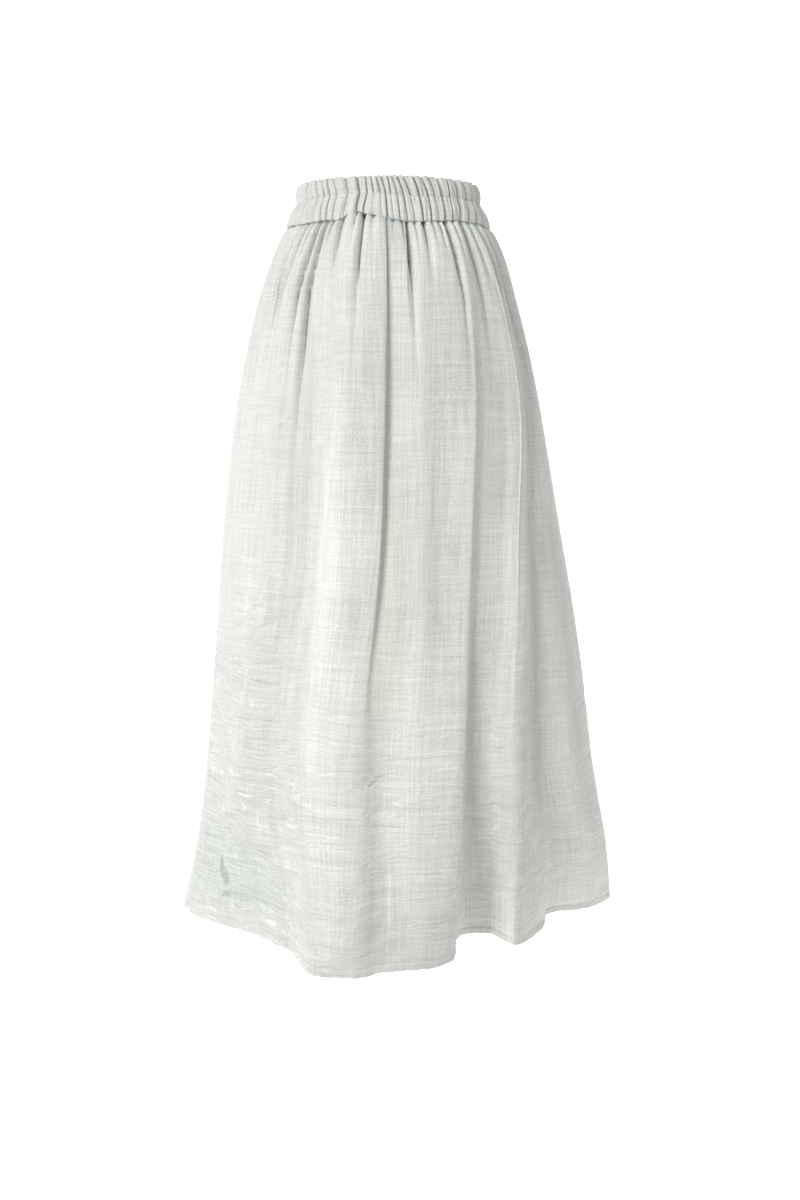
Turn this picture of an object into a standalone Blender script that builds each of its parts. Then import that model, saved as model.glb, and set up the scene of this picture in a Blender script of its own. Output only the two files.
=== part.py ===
"""A long gathered skirt with a ruched elastic waistband, standing hollow as it is worn.

Sizes are millimetres and angles degrees; the mesh is written in metres, +Z up. The front of the skirt faces -Y
and +X is its right side as seen from the front. The origin is on the waist's axis, half-way up the band, where a
wearer's waist holds the skirt. A drop is a distance below the origin. An angle goes round the body from 0 at the
centre front through 90 at the right side and 180 at the centre back to 270 at the left side.
"""

from collections import namedtuple

import bpy
import numpy as np

MM = 0.001

BAND_TOP_DROP = -25.0
CHANNEL_DROP = -4.0
SEAM_DROP = 25.0
HIP_DROP = 200.0
THIGH_DROP = 400.0
KNEE_DROP = 680.0
HEM_DROP = 920.0
FOLD_DROPS = (SEAM_DROP, HIP_DROP, THIGH_DROP, KNEE_DROP, HEM_DROP)

CLOTH = 1.9
HEM_TURN = 10.0
HEM_EXTRA = 0.7
BAND_WALL = 2.7
CHANNEL_PUFF = 1.3
CREASE_LIMIT = 1.2
SEAM_GAP = 0.3
LEFT_SIDE = -90.0
RIGHT_SIDE = 90.0
HEM_PITCH = 14.0
PANEL_DROPS = (25, 35, 50, 72, 105, 150, 205, 275, 355, 445, 545, 645, 740, 825, 880, 909, 911, 920)
CHANNEL_STEPS = (0.0, 0.16, 0.5, 0.84)
TROUGH_SHARE = 0.4
CREASE_AT_STITCHES = 0.6
PUFF_FULLNESS = 0.6
FEWEST_STEPS, MOST_STEPS = 2, 6
SHARP_ANGLE = 55.0

# Short steps for slopes: degrees round the body, and millimetres across the cut cloth.
ANGLE_STEP = 0.5
PLACE_STEP = 2.0
PLACE_SAMPLES = 4001

# The body of the skirt before its folds: half widths to the left and right, half depths to the front and back.
Section = namedtuple("Section", "drop left right front back")
SECTIONS = (
    Section(-25, 112, 112, 86, 88),
    Section(-8, 113, 114, 87, 89),
    Section(0, 115, 116, 88, 91),
    Section(12, 121, 122, 91, 95),
    Section(25, 127, 128, 95, 99),
    Section(60, 145, 146, 112, 114),
    Section(110, 163, 161, 126, 130),
    Section(200, 184, 183, 142, 148),
    Section(290, 200, 201, 150, 160),
    Section(400, 213, 221, 157, 168),
    Section(500, 222, 240, 161, 174),
    Section(600, 231, 256, 164, 178),
    Section(710, 242, 270, 168, 181),
    Section(820, 256, 285, 172, 184),
    Section(920, 276, 300, 176, 188),
)

# A long fold runs from the gathers to the hem: its angle at four drops, how far it stands out from the body at
# three of them, and where it meets the level hem in plan.
Fold = namedtuple("Fold", "name seam hip thigh knee hip_out thigh_out knee_out hem_x hem_y")
FOLDS = (
    Fold("left side", -90, -90, -90, -90, 0, 0, 0, -276, 8),
    Fold("left hollow", -64, -62, -63, -68, -2, -6, -14, -220, -43),
    Fold("left swell", -50, -46, -44, -54, 2, 3, -6, -172, -74),
    Fold("left valley", -36, -32, -31, -38, -7, -6, -10, -128, -118),
    Fold("left ridge", -21, -17, -17, -22, 6, 7, 10, -84, -196),
    Fold("centre edge", -4, -2.5, -3.5, -8, 5, 6, 6, -42, -200),
    Fold("centre pleat", 1, 1.5, 0.5, -3, -1, 0, 4, -14, -191),
    Fold("centre ridge", 14, 12, 10, 6, 2, 3, 4, 24, -179),
    Fold("centre dip", 25, 20, 16, 12, 0, 0, 2, 46, -173),
    Fold("apron edge", 36, 32, 25, 18.5, 2, 3, 3, 66, -165),
    Fold("apron valley", 45, 40, 31, 23, -3, -6, -22, 102, -72),
    Fold("right slope", 51, 48, 39, 30, -2, -4, -17, 136, -73),
    Fold("right ridge", 57.5, 57.5, 45.5, 36, 5, 7, -1, 160, -108),
    Fold("right flank", 62, 61, 49, 41, 3, 4, -9, 180, -87),
    Fold("right valley", 68, 66, 53, 49, -6, -8, -28, 209, -13),
    Fold("right lobe", 79, 78, 69, 64, 1, 2, -2, 279, 20),
    Fold("right side", 90, 90, 90, 90, 0, 0, 0, 308, 64),
    Fold("back right hollow", 104, 105, 108, 111, -3, -5, -15, 248, 97),
    Fold("back right ridge", 118, 119, 123, 127, 4, 6, 9, 230, 150),
    Fold("back right valley", 131, 133, 136, 140, -5, -8, -19, 161, 126),
    Fold("back outer ridge", 144, 145, 148, 152, 4, 5, 7, 122, 180),
    Fold("back outer valley", 156, 158, 161, 163, -4, -6, -15, 72, 151),
    Fold("back centre ridge", 170, 171, 173, 175, 5, 8, 13, 20, 208),
    Fold("back centre valley", 185, 187, 189, 190, -7, -9, -22, -37, 142),
    Fold("back left ridge", 200, 201, 203, 204, 4, 6, 8, -100, 186),
    Fold("back left valley", 214, 215, 217, 218, -4, -5, -14, -148, 137),
    Fold("left rear ridge", 227, 228, 230, 232, 3, 5, 9, -208, 148),
    Fold("left rear valley", 240, 241, 244, 246, -3, -5, -10, -224, 82),
    Fold("left rear lobe", 255, 256, 258, 259, 1, 2, 3, -281, 62),
)

# A pleat is a crease: its angle at the band's top, between the channels and at the gather seam, its depth in the
# upper and the lower channel, and its depth and reach in the cloth below the seam.
Pleat = namedtuple("Pleat", "top middle low upper lower dip reach")
FRONT_PLEATS = (
    Pleat(-80, -78, -80, 1.2, 1.2, 3.0, 70),
    Pleat(-69, -66, -68, 1.3, 1.4, 3.5, 60),
    Pleat(-59, -59, -57, 1.4, 1.5, 4.5, 110),
    Pleat(-52, -53, -50, 1.4, 1.3, 2.5, 45),
    Pleat(-47, -47, -45, 1.4, 1.5, 4.5, 90),
    Pleat(-42, -42, -40, 1.2, 1.2, 2.0, 40),
    Pleat(-38, -37, -35, 1.3, 1.5, 4.0, 190),
    Pleat(-33, -32, -31, 0.9, 1.3, 2.0, 40),
    Pleat(-27, -25, -25, 1.5, 1.4, 2.2, 30),
    Pleat(-19, -17, -17, 1.5, 1.5, 4.5, 110),
    Pleat(-13, -12, -13, 1.4, 1.1, 1.8, 30),
    Pleat(-10, -8, -8, 1.0, 0.9, 1.4, 25),
    Pleat(-7, -4, -3, 1.2, 1.3, 3.2, 150),
    Pleat(-4, -1, 0, 1.2, 1.0, 1.4, 30),
    Pleat(0, 2, 3.5, 1.2, 1.3, 2.2, 35),
    Pleat(4, 6, 7, 1.2, 1.2, 1.8, 30),
    Pleat(8, 10, 11, 1.3, 1.3, 3.2, 120),
    Pleat(12, 14, 15, 1.4, 1.4, 2.0, 35),
    Pleat(16, 20, 20, 1.5, 1.4, 2.0, 30),
    Pleat(21, 26, 25, 1.5, 1.4, 2.0, 35),
    Pleat(27, 30, 29, 1.2, 1.2, 2.8, 120),
    Pleat(34, 35, 33, 1.4, 1.4, 3.6, 80),
    Pleat(42, 41, 38, 1.4, 1.3, 2.2, 50),
    Pleat(50, 49, 44, 1.4, 1.4, 4.0, 180),
    Pleat(57, 56, 50, 1.4, 1.3, 3.2, 80),
    Pleat(64, 63, 57, 1.3, 1.4, 4.5, 170),
    Pleat(71, 71, 66, 1.3, 1.3, 3.8, 120),
    Pleat(80, 80, 77, 1.2, 1.2, 3.0, 60),
)

# The creases of the back: how many, their middle sizes, and how far each size swings from crease to crease.
BACK_PLEAT_COUNT = 28
BACK_PLACE_SWING = 0.26
BACK_TOP_SLANT = 2.0
BACK_MIDDLE_SLANT = 1.4
BACK_DIP, BACK_DIP_SWING = 2.9, 1.3
BACK_REACH, BACK_REACH_SWING = 85.0, 65.0
BACK_CREASE, BACK_CREASE_SWING = 1.3, 0.2

# Where the gather seam rides up or sags, and where the line between the channels does. A wave's power is 2 for a
# round top and more for a flat one.
Wave = namedtuple("Wave", "angle width rise power")
SEAM_WAVES = (
    Wave(-78, 9, 2.2, 2),
    Wave(-36, 9, 1.2, 2),
    Wave(-18.5, 6, 4.2, 4),
    Wave(-12, 12, 5.2, 4),
    Wave(15, 9, -2.2, 2),
    Wave(43, 6, 2.4, 2),
    Wave(62, 10, 2.0, 2),
    Wave(118, 10, 3.0, 2),
    Wave(150, 8, -2.0, 2),
    Wave(172, 9, 4.0, 2),
    Wave(205, 9, -1.8, 2),
    Wave(228, 8, 3.4, 2),
)
SEAM_WAVE_FADE = 70.0
CHANNEL_WAVES = (
    Wave(-26, 16, 2.6, 2),
    Wave(19, 12, -1.8, 2),
    Wave(130, 14, 1.8, 2),
    Wave(190, 12, -1.6, 2),
    Wave(236, 12, 1.5, 2),
)

SAGE_LINEN = (0.64, 0.66, 0.61, 1.0)
LINEN_ROUGHNESS = 0.92


def through(at, knots, values):
    """Cubic pieces through (knots, values), level at every peak or pit so that none is overshot.

    The last axis of values runs along the knots; at has one value for each result on that axis.
    """
    gap = np.diff(knots)
    chord = np.diff(values, axis=-1) / gap
    before, after = chord[..., :-1], chord[..., 1:]
    same_way = before * after > 0
    total = np.where(same_way, before + after, 1.0)
    inner = np.where(same_way, 2.0 * before * after / total, 0.0)
    slope = np.concatenate([chord[..., :1], inner, chord[..., -1:]], axis=-1)
    piece = np.clip(np.searchsorted(knots, at) - 1, 0, len(gap) - 1)
    width = gap[piece]
    t = (at - knots[piece]) / width
    low, high = values[..., piece], values[..., piece + 1]
    rise = slope[..., piece] * width
    fall = slope[..., piece + 1] * width
    return (low * (1 + 2 * t) * (1 - t) ** 2 + rise * t * (1 - t) ** 2
            + high * t * t * (3 - 2 * t) + fall * t * t * (t - 1))


def turn_from(angle, centre):
    """Signed degrees from a centre to an angle, the short way round."""
    return (angle - centre + 180.0) % 360.0 - 180.0


def waves(angle, table):
    """Sum of the smooth bumps of a table of waves at each angle."""
    return sum(wave.rise * np.exp(-np.abs(turn_from(angle, wave.angle) / wave.width) ** wave.power) for wave in table)


def body(angle, drop):
    """Plan position of the smooth body: quarter ellipses whose half axes change with the drop."""
    drops = np.array([section.drop for section in SECTIONS], float)
    half = {name: through(drop, drops, np.array([getattr(section, name) for section in SECTIONS], float))
            for name in ("left", "right", "front", "back")}
    across = np.sin(np.radians(angle))
    along = -np.cos(np.radians(angle))
    x = across * np.where(across < 0, half["left"], half["right"])
    y = along * np.where(along < 0, half["front"], half["back"])
    return np.stack([x, y])


def outward(angle, drop):
    """Unit plan vector that points straight out of the smooth body."""
    x, y = body(angle + ANGLE_STEP, drop) - body(angle - ANGLE_STEP, drop)
    return np.stack([y, -x]) / np.hypot(x, y)


def cut_places():
    """Place of each fold across the cut cloth, as the distance along the hem's chords, and the whole way round."""
    hem = np.array([(fold.hem_x, fold.hem_y) for fold in FOLDS], float)
    steps = np.linalg.norm(np.roll(hem, -1, axis=0) - hem, axis=1)
    return np.concatenate([[0.0], np.cumsum(steps)[:-1]]), steps.sum()


def hem_angles():
    """Angle of each fold's hem point round the body, kept on the same turn as its angle at the knee."""
    last = SECTIONS[-1]
    angles = []
    for fold in FOLDS:
        half_x = last.right if fold.hem_x > 0 else last.left
        half_y = last.back if fold.hem_y > 0 else last.front
        raw = np.degrees(np.arctan2(fold.hem_x / half_x, -fold.hem_y / half_y))
        angles.append(fold.knee + turn_from(raw, fold.knee))
    return np.array(angles)


def fold_grid(drops):
    """Angle and plan departure of every fold at every drop, as arrays of drops by folds."""
    levels = np.array(FOLD_DROPS)
    hem_angle = hem_angles()
    angle_rows, shift_rows = [], []
    for index, fold in enumerate(FOLDS):
        stations = np.array([fold.seam, fold.hip, fold.thigh, fold.knee, hem_angle[index]], float)
        out = np.array([0.0, fold.hip_out, fold.thigh_out, fold.knee_out, 0.0])
        shift = out * outward(stations, levels)
        shift[:, -1] = np.array([fold.hem_x, fold.hem_y]) - body(stations[-1], levels[-1])
        angle_rows.append(through(drops, levels, stations))
        shift_rows.append(through(drops, levels, shift))
    return np.stack(angle_rows, axis=-1), np.stack(shift_rows, axis=-1)


def wrap(knots, values, whole, turn):
    """Repeats the two folds at each end of the round, so that a curve through them closes smoothly."""
    knots = np.concatenate([knots[-2:] - whole, knots, knots[:2] + whole])
    values = np.concatenate([values[..., -2:] - turn, values, values[..., :2] + turn], axis=-1)
    return knots, values


def cut_place_of(seam_angle):
    """Place across the cut cloth of the thread that meets the gather seam at an angle."""
    places, whole = cut_places()
    knots, values = wrap(places, np.array([fold.seam for fold in FOLDS], float), whole, 360.0)
    fine = np.linspace(knots[0], knots[-1], PLACE_SAMPLES)
    return np.interp(seam_angle, through(fine, knots, values), fine)


def folded(place, drops):
    """Plan position of the threads at each drop: the smooth body plus the long folds, as 2 by drops by threads."""
    places, whole = cut_places()
    angles, shifts = fold_grid(drops)
    knots, angles = wrap(places, angles, whole, 360.0)
    knots, shifts = wrap(places, shifts, whole, 0.0)
    return body(through(place, knots, angles), drops[:, None]) + through(place, knots, shifts)


def back_pleats():
    """Creases of the back, as irregular in spacing, slant and depth as those of the front."""
    pleats = []
    pitch = (360.0 - RIGHT_SIDE + LEFT_SIDE) / BACK_PLEAT_COUNT
    for index in range(BACK_PLEAT_COUNT):
        low = RIGHT_SIDE + pitch * (index + 0.5 + BACK_PLACE_SWING * np.sin(2.4 * index + 0.6))
        top = low + BACK_TOP_SLANT * np.sin(1.7 * index + 1.0)
        middle = low + BACK_MIDDLE_SLANT * np.sin(1.1 * index)
        dip = BACK_DIP + BACK_DIP_SWING * np.sin(3.1 * index + 0.4)
        reach = BACK_REACH + BACK_REACH_SWING * np.sin(4.3 * index + 1.2)
        swing = BACK_CREASE_SWING * np.sin(5.2 * index)
        pleats.append(Pleat(top, middle, low, BACK_CREASE + swing, BACK_CREASE - swing, dip, reach))
    return tuple(pleats)


def columns_between(first, last, pleats, height):
    """Angles of the grid's columns at one height: each crease, and evenly between it and the next.

    The steps between two creases are the same at each height, and keep the columns close enough at the hem.
    """
    low = np.array([first] + [pleat.low for pleat in pleats] + [last], float)
    steps = np.rint(np.diff(cut_place_of(low)) / HEM_PITCH)
    steps = np.clip(steps, FEWEST_STEPS, MOST_STEPS).astype(int)
    stations = np.array([first] + [getattr(pleat, height) for pleat in pleats] + [last], float)
    counted = np.concatenate([[0], np.cumsum(steps)])
    return np.interp(np.arange(counted[-1] + 1), counted, stations)


def troughs(angle, pleats, height, depth):
    """Depth of every crease at every angle, angles by pleats: a trough as wide as its nearest neighbour allows."""
    centres = np.array([getattr(pleat, height) for pleat in pleats], float)
    depths = np.array([getattr(pleat, depth) for pleat in pleats], float)
    before = np.diff(centres, prepend=centres[-1] - 360.0)
    after = np.diff(centres, append=centres[0] + 360.0)
    half_width = TROUGH_SHARE * np.minimum(before, after)
    return depths * np.exp(-(turn_from(angle[:, None], centres) / half_width) ** 2)


def gathers(seam_angle, drops, pleats):
    """Depth of the gathers below the seam, drops by threads: each fades over its own reach."""
    reach = np.array([pleat.reach for pleat in pleats], float)
    fade = np.exp(-((drops[:, None] - SEAM_DROP) / reach) ** 2)
    return fade @ troughs(seam_angle, pleats, "low", "dip").T


def facing(place, drops):
    """Unit plan vectors that point out of the folded cloth, from its run on both sides of each thread."""
    x, y = folded(place + PLACE_STEP, drops) - folded(place - PLACE_STEP, drops)
    return np.stack([y, -x]) / np.hypot(x, y)


def points(plan, height):
    """Grid of points, rows by columns by 3, from plan positions (2 by rows by columns) and heights."""
    return np.stack([plan[0], plan[1], np.broadcast_to(height, plan[0].shape)], axis=-1)


def panel_grid(first, last, pleats):
    """Rows of a panel's wall: down its outer side and back up its inner side."""
    drops = np.array(PANEL_DROPS, float)
    seam_angle = columns_between(first, last, pleats, "low")
    place = cut_place_of(seam_angle)
    out = facing(place, drops)
    plan = folded(place, drops)
    sideways = np.stack([-out[1], out[0]])
    plan[:, :, 0] += sideways[:, :, 0] * SEAM_GAP / 2
    plan[:, :, -1] -= sideways[:, :, -1] * SEAM_GAP / 2
    outer = plan - out * gathers(seam_angle, drops, FRONT_PLEATS + BACK_PLEATS)
    wall = CLOTH + HEM_EXTRA * (drops > HEM_DROP - HEM_TURN)
    inner = outer - out * wall[:, None]
    rise = waves(seam_angle, SEAM_WAVES) * np.exp(-(drops[:, None] - SEAM_DROP) / SEAM_WAVE_FADE)
    height = rise - drops[:, None]
    height[0] -= SEAM_GAP / 2
    return np.concatenate([points(outer, height), points(inner, height)[::-1]])


def band_columns(height):
    """Angles of the band's columns at one height, once round from the left side."""
    front = columns_between(LEFT_SIDE, RIGHT_SIDE, FRONT_PLEATS, height)
    back = columns_between(RIGHT_SIDE, LEFT_SIDE + 360.0, BACK_PLEATS, height)
    return np.concatenate([front[:-1], back[:-1]])


def channel_rows(upper, lower, depth):
    """Rows down one puffed channel: its angles, nominal drop, share of the way down and relief on the outside.

    upper and lower name the heights that bound the channel. The relief is a swell between the two stitched lines
    less the creases, which are deepest half-way.
    """
    pleats = FRONT_PLEATS + BACK_PLEATS
    above, below = band_columns(upper), band_columns(lower)
    rows = []
    for share in CHANNEL_STEPS:
        angle = above + (below - above) * share
        swell = np.sin(np.pi * share)
        creases = troughs(angle, pleats, upper if share < 0.5 else lower, depth).sum(axis=1)
        creases *= CREASE_AT_STITCHES + (1.0 - CREASE_AT_STITCHES) * swell
        rows.append((angle, share, CHANNEL_PUFF * swell ** PUFF_FULLNESS - creases))
    return rows


def band_grid():
    """Rows of the band's wall: down the two channels outside to the gather seam, and straight back up inside."""
    top_rows = channel_rows("top", "middle", "upper")
    low_rows = channel_rows("middle", "low", "lower")
    seam = band_columns("low")
    seam_relief = -gathers(seam, np.array([SEAM_DROP]), FRONT_PLEATS + BACK_PLEATS)[0]
    middle_height = waves(band_columns("middle"), CHANNEL_WAVES)
    seam_height = waves(seam, SEAM_WAVES) + SEAM_GAP / 2
    top_height = np.zeros(len(seam))
    outer, inner = [], []
    for rows, first, last, first_height, last_height in (
            (top_rows, BAND_TOP_DROP, CHANNEL_DROP, top_height, middle_height),
            (low_rows + [(seam, 1.0, seam_relief)], CHANNEL_DROP, SEAM_DROP, middle_height, seam_height)):
        for angle, share, relief in rows:
            drop = first + (last - first) * share
            height = first_height + (last_height - first_height) * share - drop
            out = outward(angle, drop)
            plan = body(angle, drop)
            depth = BAND_WALL - np.minimum(0.0, relief + CREASE_LIMIT)
            outer.append(points(plan + out * relief, height))
            inner.append(points(plan - out * depth, height))
    straight_rows = (inner[-1], inner[len(CHANNEL_STEPS)], inner[0])
    return np.stack(outer + list(straight_rows))


def cloth_material(name):
    """Pale sage linen."""
    material = bpy.data.materials.new(name + " linen")
    material.use_nodes = True
    shader = material.node_tree.nodes["Principled BSDF"]
    shader.inputs["Base Color"].default_value = SAGE_LINEN
    shader.inputs["Roughness"].default_value = LINEN_ROUGHNESS
    shader.inputs["Metallic"].default_value = 0.0
    return material


def closed_wall(name, grid, goes_round):
    """One closed object from rows that loop over the wall, and columns that close on themselves or end in caps."""
    rows, columns = grid.shape[:2]
    index = np.arange(rows * columns).reshape(rows, columns)
    below = np.roll(index, -1, axis=0)
    if goes_round:
        quads = np.stack([index, below, np.roll(below, -1, axis=1), np.roll(index, -1, axis=1)], axis=-1)
        faces = quads.reshape(-1, 4)
    else:
        quads = np.stack([index[:, :-1], below[:, :-1], below[:, 1:], index[:, 1:]], axis=-1).reshape(-1, 4)
        across = index[::-1]
        half = rows // 2 - 1
        start = np.stack([index[:half, 0], across[:half, 0], across[1:half + 1, 0], index[1:half + 1, 0]], -1)
        end = np.stack([index[:half, -1], index[1:half + 1, -1], across[1:half + 1, -1], across[:half, -1]], -1)
        faces = np.concatenate([quads, start, end])
    mesh = bpy.data.meshes.new(name)
    mesh.from_pydata((grid.reshape(-1, 3) * MM).tolist(), [], faces.tolist())
    mesh.validate()
    mesh.shade_smooth()
    mesh.set_sharp_from_angle(angle=np.radians(SHARP_ANGLE))
    mesh.materials.append(cloth_material(name))
    piece = bpy.data.objects.new(name, mesh)
    bpy.context.scene.collection.objects.link(piece)
    return piece


for leftover in list(bpy.data.objects):
    bpy.data.objects.remove(leftover)

BACK_PLEATS = back_pleats()
closed_wall("waistband", band_grid(), goes_round=True)
closed_wall("skirt_front", panel_grid(LEFT_SIDE, RIGHT_SIDE, FRONT_PLEATS), goes_round=False)
closed_wall("skirt_back", panel_grid(RIGHT_SIDE, LEFT_SIDE + 360.0, BACK_PLEATS), goes_round=False)
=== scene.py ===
"""The looks of a long gathered linen skirt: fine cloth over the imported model, its stitches, the light and the camera.

Sizes are millimetres and angles degrees until a mesh is written in metres, +Z up. The front of the skirt faces -Y.
A drop is a distance below the waist's axis point. An angle goes round the body from 0 at the centre front through
90 at the right side and 180 at the centre back to 270 at the left side. A place is a distance across the cut cloth,
measured along the hem, so one place is one lengthwise thread. A run is a distance along a level row of the cloth
from the middle of its panel, positive towards greater angles.
"""

from collections import namedtuple

import bpy
import numpy as np
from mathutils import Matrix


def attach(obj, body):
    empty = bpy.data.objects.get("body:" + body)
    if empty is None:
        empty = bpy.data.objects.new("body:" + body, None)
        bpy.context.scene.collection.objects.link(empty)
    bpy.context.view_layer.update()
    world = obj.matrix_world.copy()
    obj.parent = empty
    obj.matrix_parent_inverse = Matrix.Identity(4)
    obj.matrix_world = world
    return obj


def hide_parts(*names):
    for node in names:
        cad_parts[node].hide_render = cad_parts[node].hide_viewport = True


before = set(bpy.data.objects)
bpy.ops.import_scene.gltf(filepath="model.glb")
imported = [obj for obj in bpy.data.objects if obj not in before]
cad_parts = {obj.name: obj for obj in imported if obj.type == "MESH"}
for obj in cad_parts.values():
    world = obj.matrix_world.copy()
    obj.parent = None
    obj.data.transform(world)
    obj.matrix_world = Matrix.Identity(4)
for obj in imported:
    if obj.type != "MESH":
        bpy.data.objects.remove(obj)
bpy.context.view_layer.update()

MM = 0.001


def table(kind, *rows):
    """Rows of plain values as rows with named columns."""
    return tuple(kind(*row) for row in rows)


def column(rows, name):
    """One named column of a table."""
    return np.array([getattr(row, name) for row in rows], float)


# The cloth's main heights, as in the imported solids.
BAND_TOP_DROP = -25.0
CHANNEL_DROP = -4.0
SEAM_DROP = 25.0
HIP_DROP = 200.0
THIGH_DROP = 400.0
KNEE_DROP = 680.0
HEM_DROP = 920.0
FOLD_DROPS = (SEAM_DROP, HIP_DROP, THIGH_DROP, KNEE_DROP, HEM_DROP)
LEFT_SIDE, RIGHT_SIDE = -90.0, 90.0

# Thicknesses, the hem's turn and the gap at seams.
CLOTH = 1.0
HEM_TURN = 10.0
HEM_WALL = 1.7
BAND_WALL = 2.7
BAND_BACKING = 1.2
SEAM_GAP = 0.3

# The grids: threads across a panel, its rows in four stretches of drops, how many outer rows share an inner one at
# the two edges and between them, and how much closer the threads lie at a pleat and a lap.
PANEL_THREADS = 390
ROW_STRETCHES = ((25.0, 46.0, 15), (46.0, 140.0, 30), (140.0, 904.0, 147), (904.0, 920.0, 14))
EDGE_ROWS = 14
INNER_EVERY_EDGE, INNER_EVERY = 2, 6
BAND_STEPS = 20
ANGLE_STEP = 0.5
PLEAT_CROWD, PLEAT_CROWD_ANGLE = 0.018, 0.7
LAP_CROWD, LAP_CROWD_WIDTH = 1.2, 1.3
PLACE_STEP = 1.5
PLACE_SAMPLES = 4001
SHARP_ANGLE = 62.0

# The body of the skirt before its folds: half widths to the left and right, half depths to the front and back.
Section = namedtuple("Section", "drop left right front back")
SECTIONS = table(
    Section,
    (-25, 112, 112, 86, 88),
    (-8, 113, 114, 87, 89),
    (0, 115, 116, 88, 91),
    (12, 121, 122, 91, 95),
    (25, 127, 128, 95, 99),
    (60, 145, 146, 112, 114),
    (110, 163, 161, 126, 130),
    (200, 184, 183, 142, 148),
    (290, 200, 201, 150, 160),
    (400, 213, 221, 157, 168),
    (500, 222, 240, 161, 174),
    (600, 231, 256, 164, 178),
    (710, 242, 270, 168, 181),
    (820, 256, 285, 172, 184),
    (920, 276, 300, 176, 188),
)

# A long fold runs from the gathers to the hem: its angle at four drops, how far it stands out from the body at
# three of them, and where it meets the level hem in plan.
Fold = namedtuple("Fold", "name seam hip thigh knee hip_out thigh_out knee_out hem_x hem_y")
FOLDS = table(
    Fold,
    ("left side", -90, -90, -90, -90, 0, 0, 0, -276, 8),
    ("left hollow", -64, -62, -63, -68, -2, -6, -14, -220, -43),
    ("left swell", -50, -46, -44, -54, 2, 3, -6, -172, -74),
    ("left valley", -36, -32, -31, -38, -7, -6, -10, -128, -118),
    ("left ridge", -21, -17, -17, -22, 6, 7, 10, -84, -196),
    ("centre edge", -4, -2.5, -3.5, -8, 5, 6, 6, -42, -200),
    ("centre pleat", 1, 1.5, 0.5, -3, -1, 0, 4, -14, -191),
    ("centre ridge", 14, 12, 10, 6, 2, 3, 4, 24, -179),
    ("centre dip", 25, 20, 16, 12, 0, 0, 2, 46, -173),
    ("apron edge", 36, 32, 25, 18.5, 2, 3, 3, 66, -165),
    ("apron valley", 45, 40, 31, 23, -3, -6, -22, 102, -72),
    ("right slope", 51, 48, 39, 30, -2, -4, -17, 136, -73),
    ("right ridge", 57.5, 57.5, 45.5, 36, 5, 7, -1, 160, -108),
    ("right flank", 62, 61, 49, 41, 3, 4, -9, 180, -87),
    ("right valley", 68, 66, 53, 49, -6, -8, -28, 209, -13),
    ("right lobe", 79, 78, 69, 64, 1, 2, -2, 279, 20),
    ("right side", 90, 90, 90, 90, 0, 0, 0, 308, 64),
    ("back right hollow", 104, 105, 108, 111, -3, -5, -15, 248, 97),
    ("back right ridge", 118, 119, 123, 127, 4, 6, 9, 230, 150),
    ("back right valley", 131, 133, 136, 140, -5, -8, -19, 161, 126),
    ("back outer ridge", 144, 145, 148, 152, 4, 5, 7, 122, 180),
    ("back outer valley", 156, 158, 161, 163, -4, -6, -15, 72, 151),
    ("back centre ridge", 170, 171, 173, 175, 5, 8, 13, 20, 208),
    ("back centre valley", 185, 187, 189, 190, -7, -9, -22, -37, 142),
    ("back left ridge", 200, 201, 203, 204, 4, 6, 8, -100, 186),
    ("back left valley", 214, 215, 217, 218, -4, -5, -14, -148, 137),
    ("left rear ridge", 227, 228, 230, 232, 3, 5, 9, -208, 148),
    ("left rear valley", 240, 241, 244, 246, -3, -5, -10, -224, 82),
    ("left rear lobe", 255, 256, 258, 259, 1, 2, 3, -281, 62),
)

# A pleat is a crease: its angle at the band's top, between the channels and at the gather seam, its share of the
# full depth in the upper and the lower channel, and its depth and reach in the cloth below the seam.
Pleat = namedtuple("Pleat", "top middle low upper lower dip reach")
FRONT_PLEATS = table(
    Pleat,
    (-80, -78, -80, 1.2, 1.2, 3.0, 70),
    (-69, -66, -68, 1.3, 1.4, 3.5, 60),
    (-59, -59, -57, 1.4, 1.5, 4.5, 110),
    (-54, -53, -50, 1.4, 1.3, 4.8, 100),
    (-49.5, -47, -45, 1.4, 1.5, 2.0, 50),
    (-44.5, -42, -40, 1.2, 1.2, 5.2, 110),
    (-40, -37, -35, 1.3, 1.5, 5.2, 170),
    (-35, -32, -31, 0.9, 1.3, 2.0, 40),
    (-27, -25, -25, 1.5, 1.4, 3.6, 60),
    (-19, -17, -17, 1.5, 1.5, 1.6, 30),
    (-13, -12, -13, 1.4, 1.4, 4.6, 90),
    (-10, -8, -8, 1.0, 0.25, 1.2, 22),
    (-7, -4, -3, 1.2, 0.5, 3.2, 150),
    (-4, -1, 0, 1.2, 1.5, 1.4, 30),
    (0, 2, 3.5, 1.2, 0.4, 1.4, 25),
    (2.5, 6, 7, 1.2, 1.4, 1.6, 28),
    (6, 10, 11, 1.3, 1.3, 3.6, 100),
    (9.5, 14, 15, 1.4, 0.7, 1.4, 26),
    (16, 20, 20, 1.5, 1.4, 2.8, 45),
    (21, 26, 25, 1.5, 1.5, 1.3, 24),
    (26, 30, 29, 1.2, 0.7, 1.5, 34),
    (31.5, 35, 33, 1.4, 1.4, 4.8, 90),
    (39, 41, 38, 1.4, 1.3, 1.2, 35),
    (46.5, 49, 44, 1.4, 1.4, 4.0, 90),
    (53.5, 56, 50, 1.4, 1.3, 2.0, 60),
    (60.5, 63, 57, 1.3, 1.4, 4.5, 170),
    (69, 71, 66, 1.3, 1.3, 3.8, 120),
    (80, 80, 77, 1.2, 1.2, 3.0, 60),
)

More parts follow.
